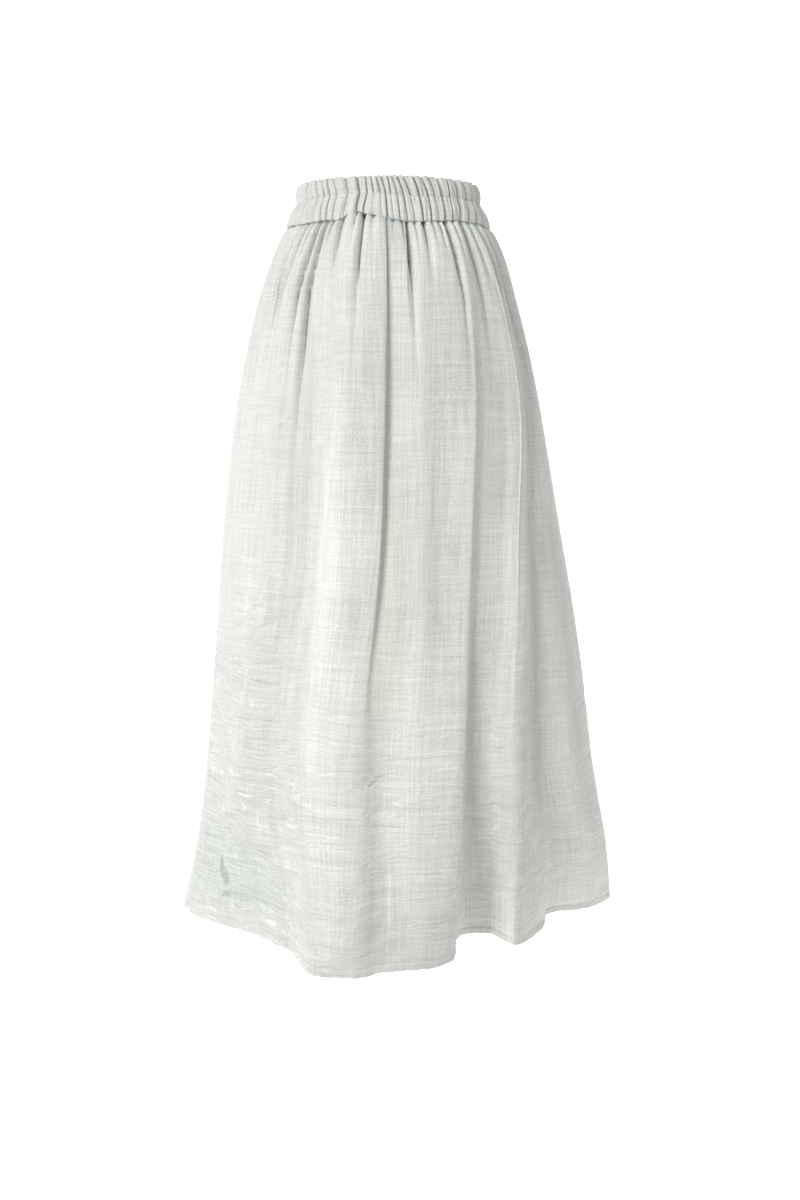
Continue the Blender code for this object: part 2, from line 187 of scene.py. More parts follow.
# The creases of the back: how many, their middle sizes, and how far each size swings from crease to crease.
BACK_PLEAT_COUNT = 28
BACK_PLACE_SWING = 0.26
BACK_TOP_SLANT = 2.0
BACK_MIDDLE_SLANT = 1.4
BACK_DIP, BACK_DIP_SWING = 2.9, 1.3
BACK_REACH, BACK_REACH_SWING = 85.0, 65.0
BACK_CREASE, BACK_CREASE_SWING = 1.3, 0.2

# Where the gather seam rides up or sags, and where the line between the channels does. A wave's power is 2 for a
# round top and more for a flat one.
Wave = namedtuple("Wave", "angle width rise power")
SEAM_WAVES = table(
    Wave,
    (-78, 9, 2.2, 2),
    (-36, 9, 1.2, 2),
    (-18.5, 6, 4.2, 4),
    (-12, 12, 5.2, 4),
    (15, 9, -2.2, 2),
    (43, 6, 2.4, 2),
    (62, 10, 2.0, 2),
    (118, 10, 3.0, 2),
    (150, 8, -2.0, 2),
    (172, 9, 4.0, 2),
    (205, 9, -1.8, 2),
    (228, 8, 3.4, 2),
)
SEAM_WAVE_FADE = 70.0
CHANNEL_WAVES = table(
    Wave,
    (-26, 16, 2.6, 2),
    (19, 12, -1.8, 2),
    (130, 14, 1.8, 2),
    (190, 12, -1.6, 2),
    (236, 12, 1.5, 2),
)

# The gathers below the seam: the trough, the sharp crease inside it and its groove, by their width against the
# neighbours' distance and their depth and reach against the pleat's own; the pinched knots at the seam, how the
# gathers fan out, and how wide a lap is that they give way to.
TROUGH_SHARE, TROUGH_GAIN, REACH_GAIN = 0.40, 2.0, 1.2
CREASE_SHARE, CREASE_DEPTH, CREASE_REACH = 0.12, 1.1, 0.7
GROOVE_SHARE, GATHER_GROOVE = 0.09, 2.4
KNOT_DEPTH, KNOT_ANGLE, KNOT_FADE = 5.2, 1.2, 6.0
GATHER_FAN, GATHER_FAN_DROP = 0.07, 90.0
BROAD_LAP, LAP_CLEAR_ANGLE = 10.0, 5.0

# The lesser gathers between them: how many, their scatter, depth, reach and half width in degrees, each with the
# range of its seeded share; and the tuck and the shoulder that the cloth makes as it comes out from under the band.
LESSER_GATHERS = 70
LESSER_SCATTER = 2.2
LESSER_DIP, LESSER_DIP_SHARES = 0.9, (0.3, 1.0)
LESSER_REACH, LESSER_REACH_SHARES = 26.0, (0.5, 1.8)
LESSER_ANGLES = (0.6, 1.2)
TUCK, TUCK_FADE = 2.4, 4.0
SHOULDER, SHOULDER_DROP, SHOULDER_WIDTH = 1.2, 12.0, 12.0

# A lap is a fold that lies over itself: its angle at the seam, the half width of its turn across the cut cloth, its
# pull over the cloth beside it against that width, its step outwards, the drops where it is full and where it has
# opened out, and how far it has slid across the cloth at LAP_SLIDE_DROP. A negative pull lays the right layer over
# the left.
Lap = namedtuple("Lap", "angle half_width pull step full open slide")
LAPS = table(
    Lap,
    (-1.5, 13.0, 2.7, 2.2, 340, 670, -8.0),
    (9.0, 7.0, 1.4, 1.4, 60, 170, 0.0),
    (56.0, 9.0, 1.5, 1.2, 430, 720, 0.0),
    (-57.0, 8.0, 1.2, 1.4, 60, 230, 0.0),
    (153.0, 12.0, 1.9, 1.4, 260, 620, 0.0),
    (206.0, 12.0, -1.9, 1.4, 200, 520, 0.0),
    (118.0, 8.0, 1.3, 1.4, 90, 300, 0.0),
    (243.0, 8.0, -1.3, 1.4, 100, 280, 0.0),
)
LAP_SEAM_SHARE = 0.75
LAP_OPENING_DROP = 45.0
LAP_SLIDE_DROP = 320.0

# A swell is a long soft ridge, or a trough where its height is negative: its angle at the seam, the drops between
# which it runs, its half width across the cut cloth and its height.
Swell = namedtuple("Swell", "angle first last half_width height")
SWELLS = table(
    Swell,
    (-74, 120, 700, 16, 1.2),
    (-56, 150, 820, 13, -1.0),
    (-46, 90, 620, 11, 1.6),
    (-41, 150, 620, 10, 1.4),
    (-32, 130, 620, 12, -3.6),
    (-25, 480, 1010, 26, -3.6),
    (-15.5, 70, 630, 20, 5.0),
    (-9, 480, 1010, 24, 5.2),
    (3, 540, 1010, 18, -4.6),
    (4, 230, 560, 10, 1.0),
    (9, 330, 900, 10, -1.0),
    (19, 110, 700, 12, 1.3),
    (22, 520, 1010, 26, 4.2),
    (30, 160, 620, 12, -1.2),
    (38, 90, 520, 11, 1.3),
    (39, 480, 1010, 16, 2.4),
    (53, 500, 900, 12, 1.0),
    (57.5, 640, 1010, 7, -1.4),
    (59.8, 540, 1010, 20, 3.4),
    (73, 140, 760, 15, 1.2),
    (84, 200, 800, 13, -1.0),
    (100, 130, 760, 16, -1.2),
    (111, 200, 700, 12, 1.1),
    (126, 110, 640, 12, 1.3),
    (139, 330, 880, 13, -1.1),
    (163, 120, 700, 11, 1.3),
    (178, 240, 860, 13, -1.0),
    (194, 100, 560, 12, 1.2),
    (221, 220, 820, 13, 1.1),
    (234, 120, 600, 12, -1.2),
    (248, 260, 880, 14, 1.2),
    (262, 140, 720, 13, -1.0),
)

# A wrinkle is one crease of crumpled linen: its run and drop, its slope from level, its length, its half width and
# its depth, which is negative where it stands out.
Wrinkle = namedtuple("Wrinkle", "run drop slope length half_width depth")
WRINKLES_FRONT = table(
    Wrinkle,
    (-150, 262, -35, 52, 4, 1.0),
    (-128, 268, 30, 44, 4, 0.9),
    (-142, 355, 5, 74, 5, 1.3),
    (-120, 368, -50, 30, 4, 1.0),
    (-205, 486, -40, 46, 4, 1.4),
    (-198, 492, 25, 58, 4, 1.3),
    (-170, 478, -20, 60, 5, 1.2),
    (-150, 470, 55, 34, 4, -1.0),
    (-230, 480, 10, 44, 5, -1.1),
    (-200, 545, -48, 52, 4, 1.1),
    (-235, 560, 20, 60, 5, 1.0),
    (-150, 560, 12, 70, 5, 1.0),
    (-260, 640, -8, 80, 6, 1.2),
    (-190, 660, 14, 90, 6, 1.3),
    (-120, 690, 50, 60, 5, 1.2),
    (-49, 690, -20, 34, 4, 1.7),
    (-38, 706, 35, 24, 4, -1.2),
    (12, 800, 6, 62, 5, 1.3),
    (4, 812, 2, 50, 5, -1.0),
    (-330, 800, 10, 80, 6, 1.6),
    (-300, 822, 14, 96, 6, -1.5),
    (-345, 866, -22, 70, 7, 2.2),
    (-318, 886, -30, 56, 6, -1.8),
    (-270, 860, 25, 80, 6, 1.5),
    (-225, 842, 35, 90, 7, 1.8),
    (-205, 872, 42, 80, 7, -1.6),
    (-175, 790, 48, 90, 7, 1.6),
    (-150, 820, 55, 80, 6, 1.3),
    (60, 640, -28, 56, 5, 1.0),
    (95, 560, 70, 60, 5, 0.9),
    (40, 860, -20, 60, 5, 1.1),
    (150, 740, -10, 84, 6, 1.4),
    (165, 790, 12, 90, 6, 1.6),
    (180, 830, 14, 96, 6, -1.4),
    (220, 800, -16, 70, 6, 1.3),
    (255, 700, 30, 64, 5, 1.1),
    (300, 640, -38, 60, 5, 1.0),
    (330, 760, 22, 80, 6, 1.2),
    (390, 800, 15, 80, 6, 1.2),
    (250, 420, 10, 60, 4, 0.9),
    (290, 470, -30, 44, 4, 0.9),
)
WRINKLES_BACK = table(
    Wrinkle,
    (-250, 470, 25, 70, 5, 1.2),
    (-230, 500, -40, 50, 4, 1.2),
    (-140, 640, 12, 90, 6, 1.3),
    (-60, 760, -18, 80, 6, 1.3),
    (30, 560, 48, 60, 5, 1.1),
    (110, 700, 10, 90, 6, 1.4),
    (180, 820, -14, 96, 7, 1.7),
    (240, 600, 34, 64, 5, 1.2),
    (300, 770, 16, 80, 6, -1.3),
    (-320, 820, 18, 90, 7, 1.6),
)
WRINKLES = {"front": WRINKLES_FRONT, "back": WRINKLES_BACK}

# A crumple is a patch of many small creases: its panel, run and drop, its half width and half height, how many
# creases it has, their slope from level, its spread, and their depth.
Crumple = namedtuple("Crumple", "panel run drop half_width half_height count slope spread depth")
CRUMPLES = table(
    Crumple,
    ("front", -250, 470, 70, 60, 26, -15, 40, 0.55),
    ("front", -230, 640, 90, 80, 34, 10, 45, 0.6),
    ("front", -300, 830, 90, 60, 40, 15, 30, 0.8),
    ("front", -120, 860, 70, 45, 26, -20, 30, 0.7),
    ("front", -40, 860, 90, 50, 26, 5, 35, 0.6),
    ("front", 60, 560, 90, 120, 22, 8, 50, 0.4),
    ("front", 190, 700, 90, 90, 30, -8, 35, 0.55),
    ("front", 240, 860, 110, 50, 40, 12, 25, 0.75),
    ("front", 330, 600, 60, 120, 22, -20, 35, 0.5),
    ("front", 0, 250, 200, 120, 22, 20, 60, 0.35),
    ("back", -260, 500, 90, 100, 30, 12, 40, 0.55),
    ("back", -120, 760, 100, 90, 34, -10, 40, 0.65),
    ("back", 90, 620, 100, 110, 32, 10, 40, 0.55),
    ("back", 260, 800, 110, 80, 36, -12, 35, 0.7),
    ("back", 0, 880, 330, 30, 40, 5, 25, 0.6),
    ("back", 40, 300, 220, 120, 24, 20, 60, 0.35),
)

# The seeded creases of a crumple, each size with its spread; and how the wrinkles lip over and begin below the seam.
CRUMPLE_SCATTER = 0.6
CRUMPLE_LENGTH, LENGTH_SPREAD = 38.0, 0.45
CRUMPLE_HALF_WIDTH, HALF_WIDTH_SPREAD = 4.6, 0.35
CRUMPLE_GAIN, GAIN_SPREAD = 0.9, 0.4
CRUMPLE_SEED = 11
CREASE_LIP = 0.6
WRINKLE_START, WRINKLE_FULL = 45.0, 110.0

# The hem: its stitched groove, the fullness below it, and its uneven edge, each wave with its length.
GROOVE_DEPTH, GROOVE_HALF_WIDTH = 0.7, 1.3
HEM_FULLNESS, HEM_EASE = 0.5, 2.0
HEM_PUCKER, PUCKER_LENGTH = 0.55, 26.0
HEM_EDGE_WAVE, EDGE_WAVE_LENGTH = 0.7, 75.0
PUCKER_SEEDS = {"front": 8, "back": 7}
EDGE_SEEDS = {"front": 13, "back": 12}

# The band: two channels that swell out, with puffs between their creases, drawn in at the two stitched lines and the
# seam. A puff has a flat top, fine wrinkles, an uneven edge at the top, and sags a little over the seam.
CHANNEL_ROWS = (20, 24)
CHANNEL_SWELL, SWELL_POWER, SWELL_CREASE_SHARE = 1.9, 0.45, 0.25
CREASE_GAIN, SIDE_SEAM_CREASE = 4.0, 0.6
PUFF_POWER, PUFF_LEAN, NARROW_PUFF = 3.6, 0.55, 2.0
STEP_CROWD = 0.8
PUFF_SEED = 5
LINE_TUCK = 1.6
TOP_SCALLOP, SCALLOP_REACH = 1.3, 0.35
FINE_WRINKLE, FINE_WRINKLE_ANGLE, FINE_WRINKLE_SLANT = 0.15, 3.6, 1.7
FINE_WRINKLE_SHARES = (0.3, 1.0)
SEAM_SAG, SAG_LEVEL, SAG_HALF_WIDTH = 2.3, 0.96, 0.09
INNER_CREASE_SHARE = 0.25
INNER_BAND_EVERY = 3
BAND_PUFF = 19.0

# A wide puff's half crease: its half width in degrees, how wide the puff has to be, how it fades, and the ranges of
# its place, slant, length and depth.
HALF_CREASE_ANGLE = 0.36
HALF_CREASE_ROOM = (4.5, 6.5)
HALF_CREASE_FADE = 0.3
HALF_CREASE_PLACES = (0.32, 0.68)
HALF_CREASE_SLANTS = (-0.16, 0.16)
HALF_CREASE_LENGTHS = (0.4, 1.1)
HALF_CREASE_DEPTHS = (0.35, 0.8)

# Stitches: capsules of rings, by each ring's place along the half length and its girth.
STITCH_PITCH = 3.0
STITCH_LENGTH = 2.3
STITCH_RADIUS, STITCH_FLATTEN = 0.26, 1.3
RING_PLACES = (-1.0, -0.7, 0.0, 0.7, 1.0)
RING_GIRTHS = (0.15, 0.8, 1.0, 0.8, 0.15)
RING_POINTS = 6

# The photograph's camera, the paper sweep and the room's light, in metres and degrees.
CAMERA_PLACE = (0.015, -1.6, -0.256)
CAMERA_TILT = 90.0 - 8.42
CAMERA_LENS = 37.2
SWEEP_FLOOR, SWEEP_FRONT, SWEEP_BACK, SWEEP_TOP = -1.3, -0.3, 2.1, 2.4
SWEEP_RADIUS, SWEEP_HALF_WIDTH = 1.2, 3.2
PAPER = (0.9, 0.9, 0.9, 1.0)
PAPER_ROUGHNESS, PAPER_GLOW = 0.95, 0.8
WHITE = (1.0, 1.0, 1.0, 1.0)
ROOM_LIGHT = 0.36

# Each lamp is a soft square: its place, the point it faces, its side in metres and its power in watts.
Lamp = namedtuple("Lamp", "name place aim size power")
LAMPS = table(
    Lamp,
    ("key", (-1.8, -2.6, 0.9), (0.0, 0.0, -0.5), 1.5, 74.0),
    ("side", (-1.5, -0.7, -0.1), (0.0, 0.0, -0.4), 0.9, 2.5),
    ("fill", (2.2, -2.2, 0.4), (0.0, 0.0, -0.4), 1.6, 16.0),
)


# Curves and the smooth body

def through(at, knots, values):
    """Cubic pieces through (knots, values), level at every peak or pit so that none is overshot.

    The last axis of values runs along the knots; at has one value for each result on that axis.
    """
    gap = np.diff(knots)
    chord = np.diff(values, axis=-1) / gap
    before, after = chord[..., :-1], chord[..., 1:]
    same_way = before * after > 0
    total = np.where(same_way, before + after, 1.0)
    inner = np.where(same_way, 2.0 * before * after / total, 0.0)
    slope = np.concatenate([chord[..., :1], inner, chord[..., -1:]], axis=-1)
    piece = np.clip(np.searchsorted(knots, at) - 1, 0, len(gap) - 1)
    width = gap[piece]
    t = (at - knots[piece]) / width
    low, high = values[..., piece], values[..., piece + 1]
    rise = slope[..., piece] * width
    fall = slope[..., piece + 1] * width
    return (low * (1 + 2 * t) * (1 - t) ** 2 + rise * t * (1 - t) ** 2
            + high * t * t * (3 - 2 * t) + fall * t * t * (t - 1))


def ease(value, start, end):
    """Smooth step from 0 at start to 1 at end: 3t^2 - 2t^3 of the clamped share of the way."""
    t = np.clip((value - start) / (end - start), 0.0, 1.0)
    return t * t * (3.0 - 2.0 * t)


def bell(away, half_width):
    """Gaussian bump: e to the minus square of the distance from its centre in half widths."""
    return np.exp(-(away / half_width) ** 2)


def turn_from(angle, centre):
    """Signed degrees from a centre to an angle, the short way round."""
    return (angle - centre + 180.0) % 360.0 - 180.0


def waves(angle, table):
    """Sum of the smooth bumps of a table of waves at each angle."""
    return sum(wave.rise * np.exp(-np.abs(turn_from(angle, wave.angle) / wave.width) ** wave.power) for wave in table)


def body(angle, drop):
    """Plan position of the smooth body: quarter ellipses whose half axes change with the drop."""
    drops = column(SECTIONS, "drop")
    half = {name: through(drop, drops, column(SECTIONS, name)) for name in ("left", "right", "front", "back")}
    across = np.sin(np.radians(angle))
    along = -np.cos(np.radians(angle))
    x = across * np.where(across < 0, half["left"], half["right"])
    y = along * np.where(along < 0, half["front"], half["back"])
    return np.stack([x, y])


def outward(angle, drop):
    """Unit plan vector that points straight out of the smooth body."""
    x, y = body(angle + ANGLE_STEP, drop) - body(angle - ANGLE_STEP, drop)
    return np.stack([y, -x]) / np.hypot(x, y)


# The long folds

def cut_places():
    """Place of each fold across the cut cloth, as the distance along the hem's chords, and the whole way round."""
    hem = np.stack([column(FOLDS, "hem_x"), column(FOLDS, "hem_y")], axis=-1)
    steps = np.linalg.norm(np.roll(hem, -1, axis=0) - hem, axis=1)
    return np.concatenate([[0.0], np.cumsum(steps)[:-1]]), steps.sum()


def hem_angles():
    """Angle of each fold's hem point round the body, kept on the same turn as its angle at the knee."""
    last = SECTIONS[-1]
    x, y, knee = column(FOLDS, "hem_x"), column(FOLDS, "hem_y"), column(FOLDS, "knee")
    half_x = np.where(x > 0, last.right, last.left)
    half_y = np.where(y > 0, last.back, last.front)
    return knee + turn_from(np.degrees(np.arctan2(x / half_x, -y / half_y)), knee)


def fold_grid(drops):
    """Angle and plan departure of every fold at every drop, as arrays of drops by folds."""
    levels = np.array(FOLD_DROPS)
    hem_angle = hem_angles()
    angle_rows, shift_rows = [], []
    for index, fold in enumerate(FOLDS):
        stations = np.array([fold.seam, fold.hip, fold.thigh, fold.knee, hem_angle[index]], float)
        out = np.array([0.0, fold.hip_out, fold.thigh_out, fold.knee_out, 0.0])
        shift = out * outward(stations, levels)
        shift[:, -1] = np.array([fold.hem_x, fold.hem_y]) - body(stations[-1], levels[-1])
        angle_rows.append(through(drops, levels, stations))
        shift_rows.append(through(drops, levels, shift))
    return np.stack(angle_rows, axis=-1), np.stack(shift_rows, axis=-1)


def wrap(knots, values, whole, turn):
    """Repeats the two folds at each end of the round, so that a curve through them closes smoothly."""
    knots = np.concatenate([knots[-2:] - whole, knots, knots[:2] + whole])
    values = np.concatenate([values[..., -2:] - turn, values, values[..., :2] + turn], axis=-1)
    return knots, values


def cut_place_of(seam_angle):
    """Place across the cut cloth of the thread that meets the gather seam at an angle."""
    places, whole = cut_places()
    knots, values = wrap(places, column(FOLDS, "seam"), whole, 360.0)
    fine = np.linspace(knots[0], knots[-1], PLACE_SAMPLES)
    return np.interp(seam_angle, through(fine, knots, values), fine)


def row_through(place, knots, values):
    """The curve of each row at that row's own places: place is rows by threads, values end in rows by folds."""
    rows = [through(place[row], knots, values[..., row, :]) for row in range(len(place))]
    return np.stack(rows, axis=-2)


def folded(place, drops, moved=None):
    """Plan position of the threads, 2 by rows by threads, and their angles round the smooth body.

    A thread stands on the smooth body at the angle of its moved place, and departs from it as its own fold does.
    """
    places, whole = cut_places()
    angles, shifts = fold_grid(drops)
    knots, angles = wrap(places, angles, whole, 360.0)
    knots, shifts = wrap(places, shifts, whole, 0.0)
    angle = row_through(place if moved is None else moved, knots, angles)
    return body(angle, drops[:, None]) + row_through(place, knots, shifts), angle


def facing(place, drops):
    """Unit plan vectors that point out of the folded cloth, from its run on both sides of each thread."""
    x, y = folded(place + PLACE_STEP, drops)[0] - folded(place - PLACE_STEP, drops)[0]
    return np.stack([y, -x]) / np.hypot(x, y)


# Gathers, laps, swells and wrinkles

def back_pleats():
    """Creases of the back, as irregular in spacing, slant and depth as those of the front."""
    pleats = []
    pitch = (360.0 - RIGHT_SIDE + LEFT_SIDE) / BACK_PLEAT_COUNT
    for index in range(BACK_PLEAT_COUNT):
        low = RIGHT_SIDE + pitch * (index + 0.5 + BACK_PLACE_SWING * np.sin(2.4 * index + 0.6))
        top = low + BACK_TOP_SLANT * np.sin(1.7 * index + 1.0)
        middle = low + BACK_MIDDLE_SLANT * np.sin(1.1 * index)
        dip = BACK_DIP + BACK_DIP_SWING * np.sin(3.1 * index + 0.4)
        reach = BACK_REACH + BACK_REACH_SWING * np.sin(4.3 * index + 1.2)
        swing = BACK_CREASE_SWING * np.sin(5.2 * index)
        pleats.append(Pleat(top, middle, low, BACK_CREASE + swing, BACK_CREASE - swing, dip, reach))
    return tuple(pleats)


BACK_PLEATS = back_pleats()
ALL_PLEATS = FRONT_PLEATS + BACK_PLEATS


def gathers(seam_angle, drops):
    """Depth of the gathers, rows by threads.

    Each is a wide trough with a sharp crease, fades over its reach and turns outwards as it goes down. It has a
    pinched knot at the seam, and gives way beside a broad lap.
    """
    centres, dips = column(ALL_PLEATS, "low"), column(ALL_PLEATS, "dip")
    reach = REACH_GAIN * column(ALL_PLEATS, "reach")
    before = np.diff(centres, prepend=centres[-1] - 360.0)
    after = np.diff(centres, append=centres[0] + 360.0)
    room = np.minimum(before, after)
    below = (drops - SEAM_DROP)[:, None, None]
    fan = GATHER_FAN * np.sin(np.radians(centres)) * np.minimum(below, GATHER_FAN_DROP)
    away = turn_from(seam_angle[:, None], centres + fan)
    trough = TROUGH_GAIN * dips * bell(away, TROUGH_SHARE * room)
    sharp = CREASE_DEPTH * dips * np.exp(-np.abs(away / (CREASE_SHARE * room)))
    sharp += GATHER_GROOVE * dips * bell(away, GROOVE_SHARE * room)
    knot = KNOT_DEPTH * bell(away, KNOT_ANGLE) * bell(below, KNOT_FADE)
    laps = [lap.angle for lap in LAPS if lap.half_width > BROAD_LAP]
    clear = 1.0 - sum(bell(turn_from(seam_angle, angle), LAP_CLEAR_ANGLE) for angle in laps)
    depth = trough * bell(below, reach) + sharp * bell(below, CREASE_REACH * reach)
    return clear * depth.sum(axis=2) + knot.sum(axis=2)


def lesser_gathers(seam_angle, drops):
    """Depth of the small uneven gathers between the main ones: seeded troughs that fade close to the seam."""
    random = np.random.default_rng(CRUMPLE_SEED)
    centres = np.linspace(0.0, 360.0, LESSER_GATHERS, endpoint=False)
    centres += random.uniform(-LESSER_SCATTER, LESSER_SCATTER, LESSER_GATHERS)
    dips = LESSER_DIP * random.uniform(*LESSER_DIP_SHARES, LESSER_GATHERS)
    reach = LESSER_REACH * random.uniform(*LESSER_REACH_SHARES, LESSER_GATHERS)
    widths = random.uniform(*LESSER_ANGLES, LESSER_GATHERS)
    across = dips * bell(turn_from(seam_angle[:, None], centres), widths)
    return bell(drops[:, None] - SEAM_DROP, reach) @ across.T


def lapped(place, drops):
    """Places and outward steps of threads drawn into the laps.

    Across a lap a thread at t half widths from its line moves by -pull t e^(-t^2) half widths, which turns the
    cloth back on itself where the pull is over 1, and steps outwards by -t e^((1-t^2)/2), so that one layer lies
    over the other.
    """
    moved = np.broadcast_to(place, (len(drops), len(place))).copy()
    step = np.zeros_like(moved)
    for lap in LAPS:
        slid = lap.slide * ease(drops, 2.0 * SEAM_DROP, LAP_SLIDE_DROP)
        t = (place - cut_place_of(lap.angle) - slid[:, None]) / lap.half_width
        opening = ease(drops, SEAM_DROP, SEAM_DROP + LAP_OPENING_DROP)
        size = (LAP_SEAM_SHARE + (1.0 - LAP_SEAM_SHARE) * opening) * (1.0 - ease(drops, lap.full, lap.open))
        pull = abs(lap.pull) * lap.half_width
        moved -= pull * size[:, None] * t * np.exp(-t * t)
        side = np.sign(lap.pull)
        step -= side * lap.step * size[:, None] * t * np.exp((1.0 - t * t) / 2.0)
    return moved, step


def swells(place, drops):
    """Height of the long soft ridges: a bell across the cloth, eased in and out along it."""
    height = np.zeros((len(drops), len(place)))
    for swell in SWELLS:
        third = (swell.last - swell.first) / 3.0
        along = ease(drops, swell.first, swell.first + third) * (1.0 - ease(drops, swell.last - third, swell.last))
        height += swell.height * along[:, None] * bell(place - cut_place_of(swell.angle), swell.half_width)
    return height


def runs(plan):
    """Distance along each level row from the row's middle thread, rows by threads."""
    steps = np.hypot(*np.diff(plan, axis=2))
    run = np.concatenate([np.zeros((steps.shape[0], 1)), np.cumsum(steps, axis=1)], axis=1)
    return run - run[:, -1:] / 2.0


def crease(run, drop, row):
    """Depth of one wrinkle: a bell across its line, with a shallow lip beside it, and a bell along it."""
    slope = np.radians(row.slope)
    along = (run - row.run) * np.cos(slope) + (drop - row.drop) * np.sin(slope)
    across = (drop - row.drop) * np.cos(slope) - (run - row.run) * np.sin(slope)
    t = across / row.half_width
    return row.depth * (1.0 - CREASE_LIP * t) * np.exp(-t * t) * bell(along, row.length / 2.0)


def crumple_rows(panel):
    """The small creases of a panel's crumples, drawn with a fixed seed inside each patch."""
    random = np.random.default_rng(CRUMPLE_SEED)
    rows = []
    for patch in CRUMPLES:
        draws = random.normal(0.0, 1.0, (patch.count, 6))
        if patch.panel != panel:
            continue
        for sideways, downwards, tilt, longer, wider, deeper in draws:
            rows.append(Wrinkle(
                patch.run + CRUMPLE_SCATTER * patch.half_width * sideways,
                patch.drop + CRUMPLE_SCATTER * patch.half_height * downwards,
                patch.slope + patch.spread * tilt,
                CRUMPLE_LENGTH * np.exp(LENGTH_SPREAD * longer),
                CRUMPLE_HALF_WIDTH * np.exp(HALF_WIDTH_SPREAD * wider),
                CRUMPLE_GAIN * patch.depth * np.exp(GAIN_SPREAD * deeper) * np.sign(deeper + GAIN_SPREAD)))
    return rows


def wrinkles(panel, run, drop):
    """Depth of all the wrinkles of a panel at each point of its grid."""
    depth = np.zeros_like(run)
    for row in [*WRINKLES[panel], *crumple_rows(panel)]:
        reach = row.length * 1.6 + row.half_width * 3.0
        near = (np.abs(run - row.run) < reach) & (np.abs(drop - row.drop) < reach)
        depth[near] += crease(run[near], drop[near], row)
    return depth


def uneven(run, seed, wavelength):
    """Uneven wave along an edge, about from -1 to 1: four sines of unlike lengths with seeded phases."""
    random = np.random.default_rng(seed)
    wave = np.zeros_like(run)
    for share in (1.0, 1.7, 2.6, 4.1):
        wave += np.sin(2.0 * np.pi * run * share / wavelength + random.uniform(0.0, 2.0 * np.pi)) / share ** 0.5
    return wave / 2.0


# The cloth of a panel

def panel_threads(first, last):
    """Seam angles of a panel's threads: even at the seam and at the hem together, and closer across each lap."""
    fine = np.linspace(first, last, PLACE_SAMPLES)
    place = cut_place_of(fine)
    crowd = np.full(PLACE_SAMPLES, 1.0 / (last - first)) + np.gradient(place, fine) / (place[-1] - place[0])
    for lap in LAPS:
        centre = cut_place_of(lap.angle)
        if place[0] < centre < place[-1]:
            crowd += crowd * LAP_CROWD * bell(place - centre, LAP_CROWD_WIDTH * lap.half_width)
    for pleat in ALL_PLEATS:
        crowd += PLEAT_CROWD * bell(turn_from(fine, pleat.low), PLEAT_CROWD_ANGLE)
    total = np.concatenate([[0.0], np.cumsum((crowd[1:] + crowd[:-1]) / 2.0)])
    return np.interp(np.linspace(0.0, 1.0, PANEL_THREADS), total / total[-1], fine)


def panel_drops():
    """Drops of a panel's rows: close at the gathers and the hem."""
    stretches = [np.linspace(first, last, count, endpoint=False) for first, last, count in ROW_STRETCHES]
    return np.concatenate(stretches + [[HEM_DROP]])


def panel_surface(panel, first, last):
    """Outer and inner points of a panel, rows by threads by 3, and its cloth coordinates for the weave."""
    drops = panel_drops()
    seam_angle = panel_threads(first, last)
    place = cut_place_of(seam_angle)
    moved, step = lapped(place, drops)
    own = np.broadcast_to(place, moved.shape)
    plan, angle = folded(own, drops, moved)
    plan += outward(angle, drops[:, None]) * step
    out = facing(own, drops)
    run = runs(folded(own, drops)[0])
    drop = np.broadcast_to(drops[:, None], run.shape)

    below = drop - SEAM_DROP
    relief = swells(place, drops) - gathers(seam_angle, drops) - lesser_gathers(seam_angle, drops)
    relief += SHOULDER * bell(below - SHOULDER_DROP, SHOULDER_WIDTH) - TUCK * bell(below, TUCK_FADE)
    relief -= wrinkles(panel, run, drop) * ease(drop, WRINKLE_START, WRINKLE_FULL)
    groove = HEM_DROP - HEM_TURN
    hem_share = ease(drop, groove - HEM_EASE, groove + HEM_EASE)
    relief += hem_share * (HEM_FULLNESS + HEM_PUCKER * uneven(run, PUCKER_SEEDS[panel], PUCKER_LENGTH))
    relief -= GROOVE_DEPTH * bell(drop - groove, GROOVE_HALF_WIDTH)

    sideways = np.stack([-out[1], out[0]])
    edge = np.zeros(len(place))
    edge[0], edge[-1] = SEAM_GAP / 2.0, -SEAM_GAP / 2.0
    outer = plan + out * relief + sideways * edge
    rise = waves(seam_angle, SEAM_WAVES) * np.exp(-below / SEAM_WAVE_FADE)
    height = rise - drop + hem_share * HEM_EDGE_WAVE * uneven(run, EDGE_SEEDS[panel], EDGE_WAVE_LENGTH)
    height[0] -= SEAM_GAP / 2.0
    outer = np.stack([outer[0], outer[1], height], axis=-1)
    wall = CLOTH + (HEM_WALL - CLOTH) * hem_share
    inner = outer - surface_normals(outer) * wall[..., None]
    inner[..., 2] = height
    chart = np.stack([np.broadcast_to(place, drop.shape), drop], axis=-1)
    return outer, inner, chart


def unit(vectors):
    """Vectors at unit length."""
    return vectors / np.linalg.norm(vectors, axis=-1, keepdims=True)


def surface_normals(grid):
    """Unit normals of a grid of points, out of the skirt: the cross product of its steps down and across."""
    across = np.gradient(grid, axis=1)
    down = np.gradient(grid, axis=0)
    return unit(np.cross(down, across))


# The cloth of the band

def stations(height):
    """Angles of the band's creases at one height, once round, with the side seams among them."""
    front, back = column(FRONT_PLEATS, height), column(BACK_PLEATS, height)
    return np.concatenate([[LEFT_SIDE], front, [RIGHT_SIDE], back, [LEFT_SIDE + 360.0]])


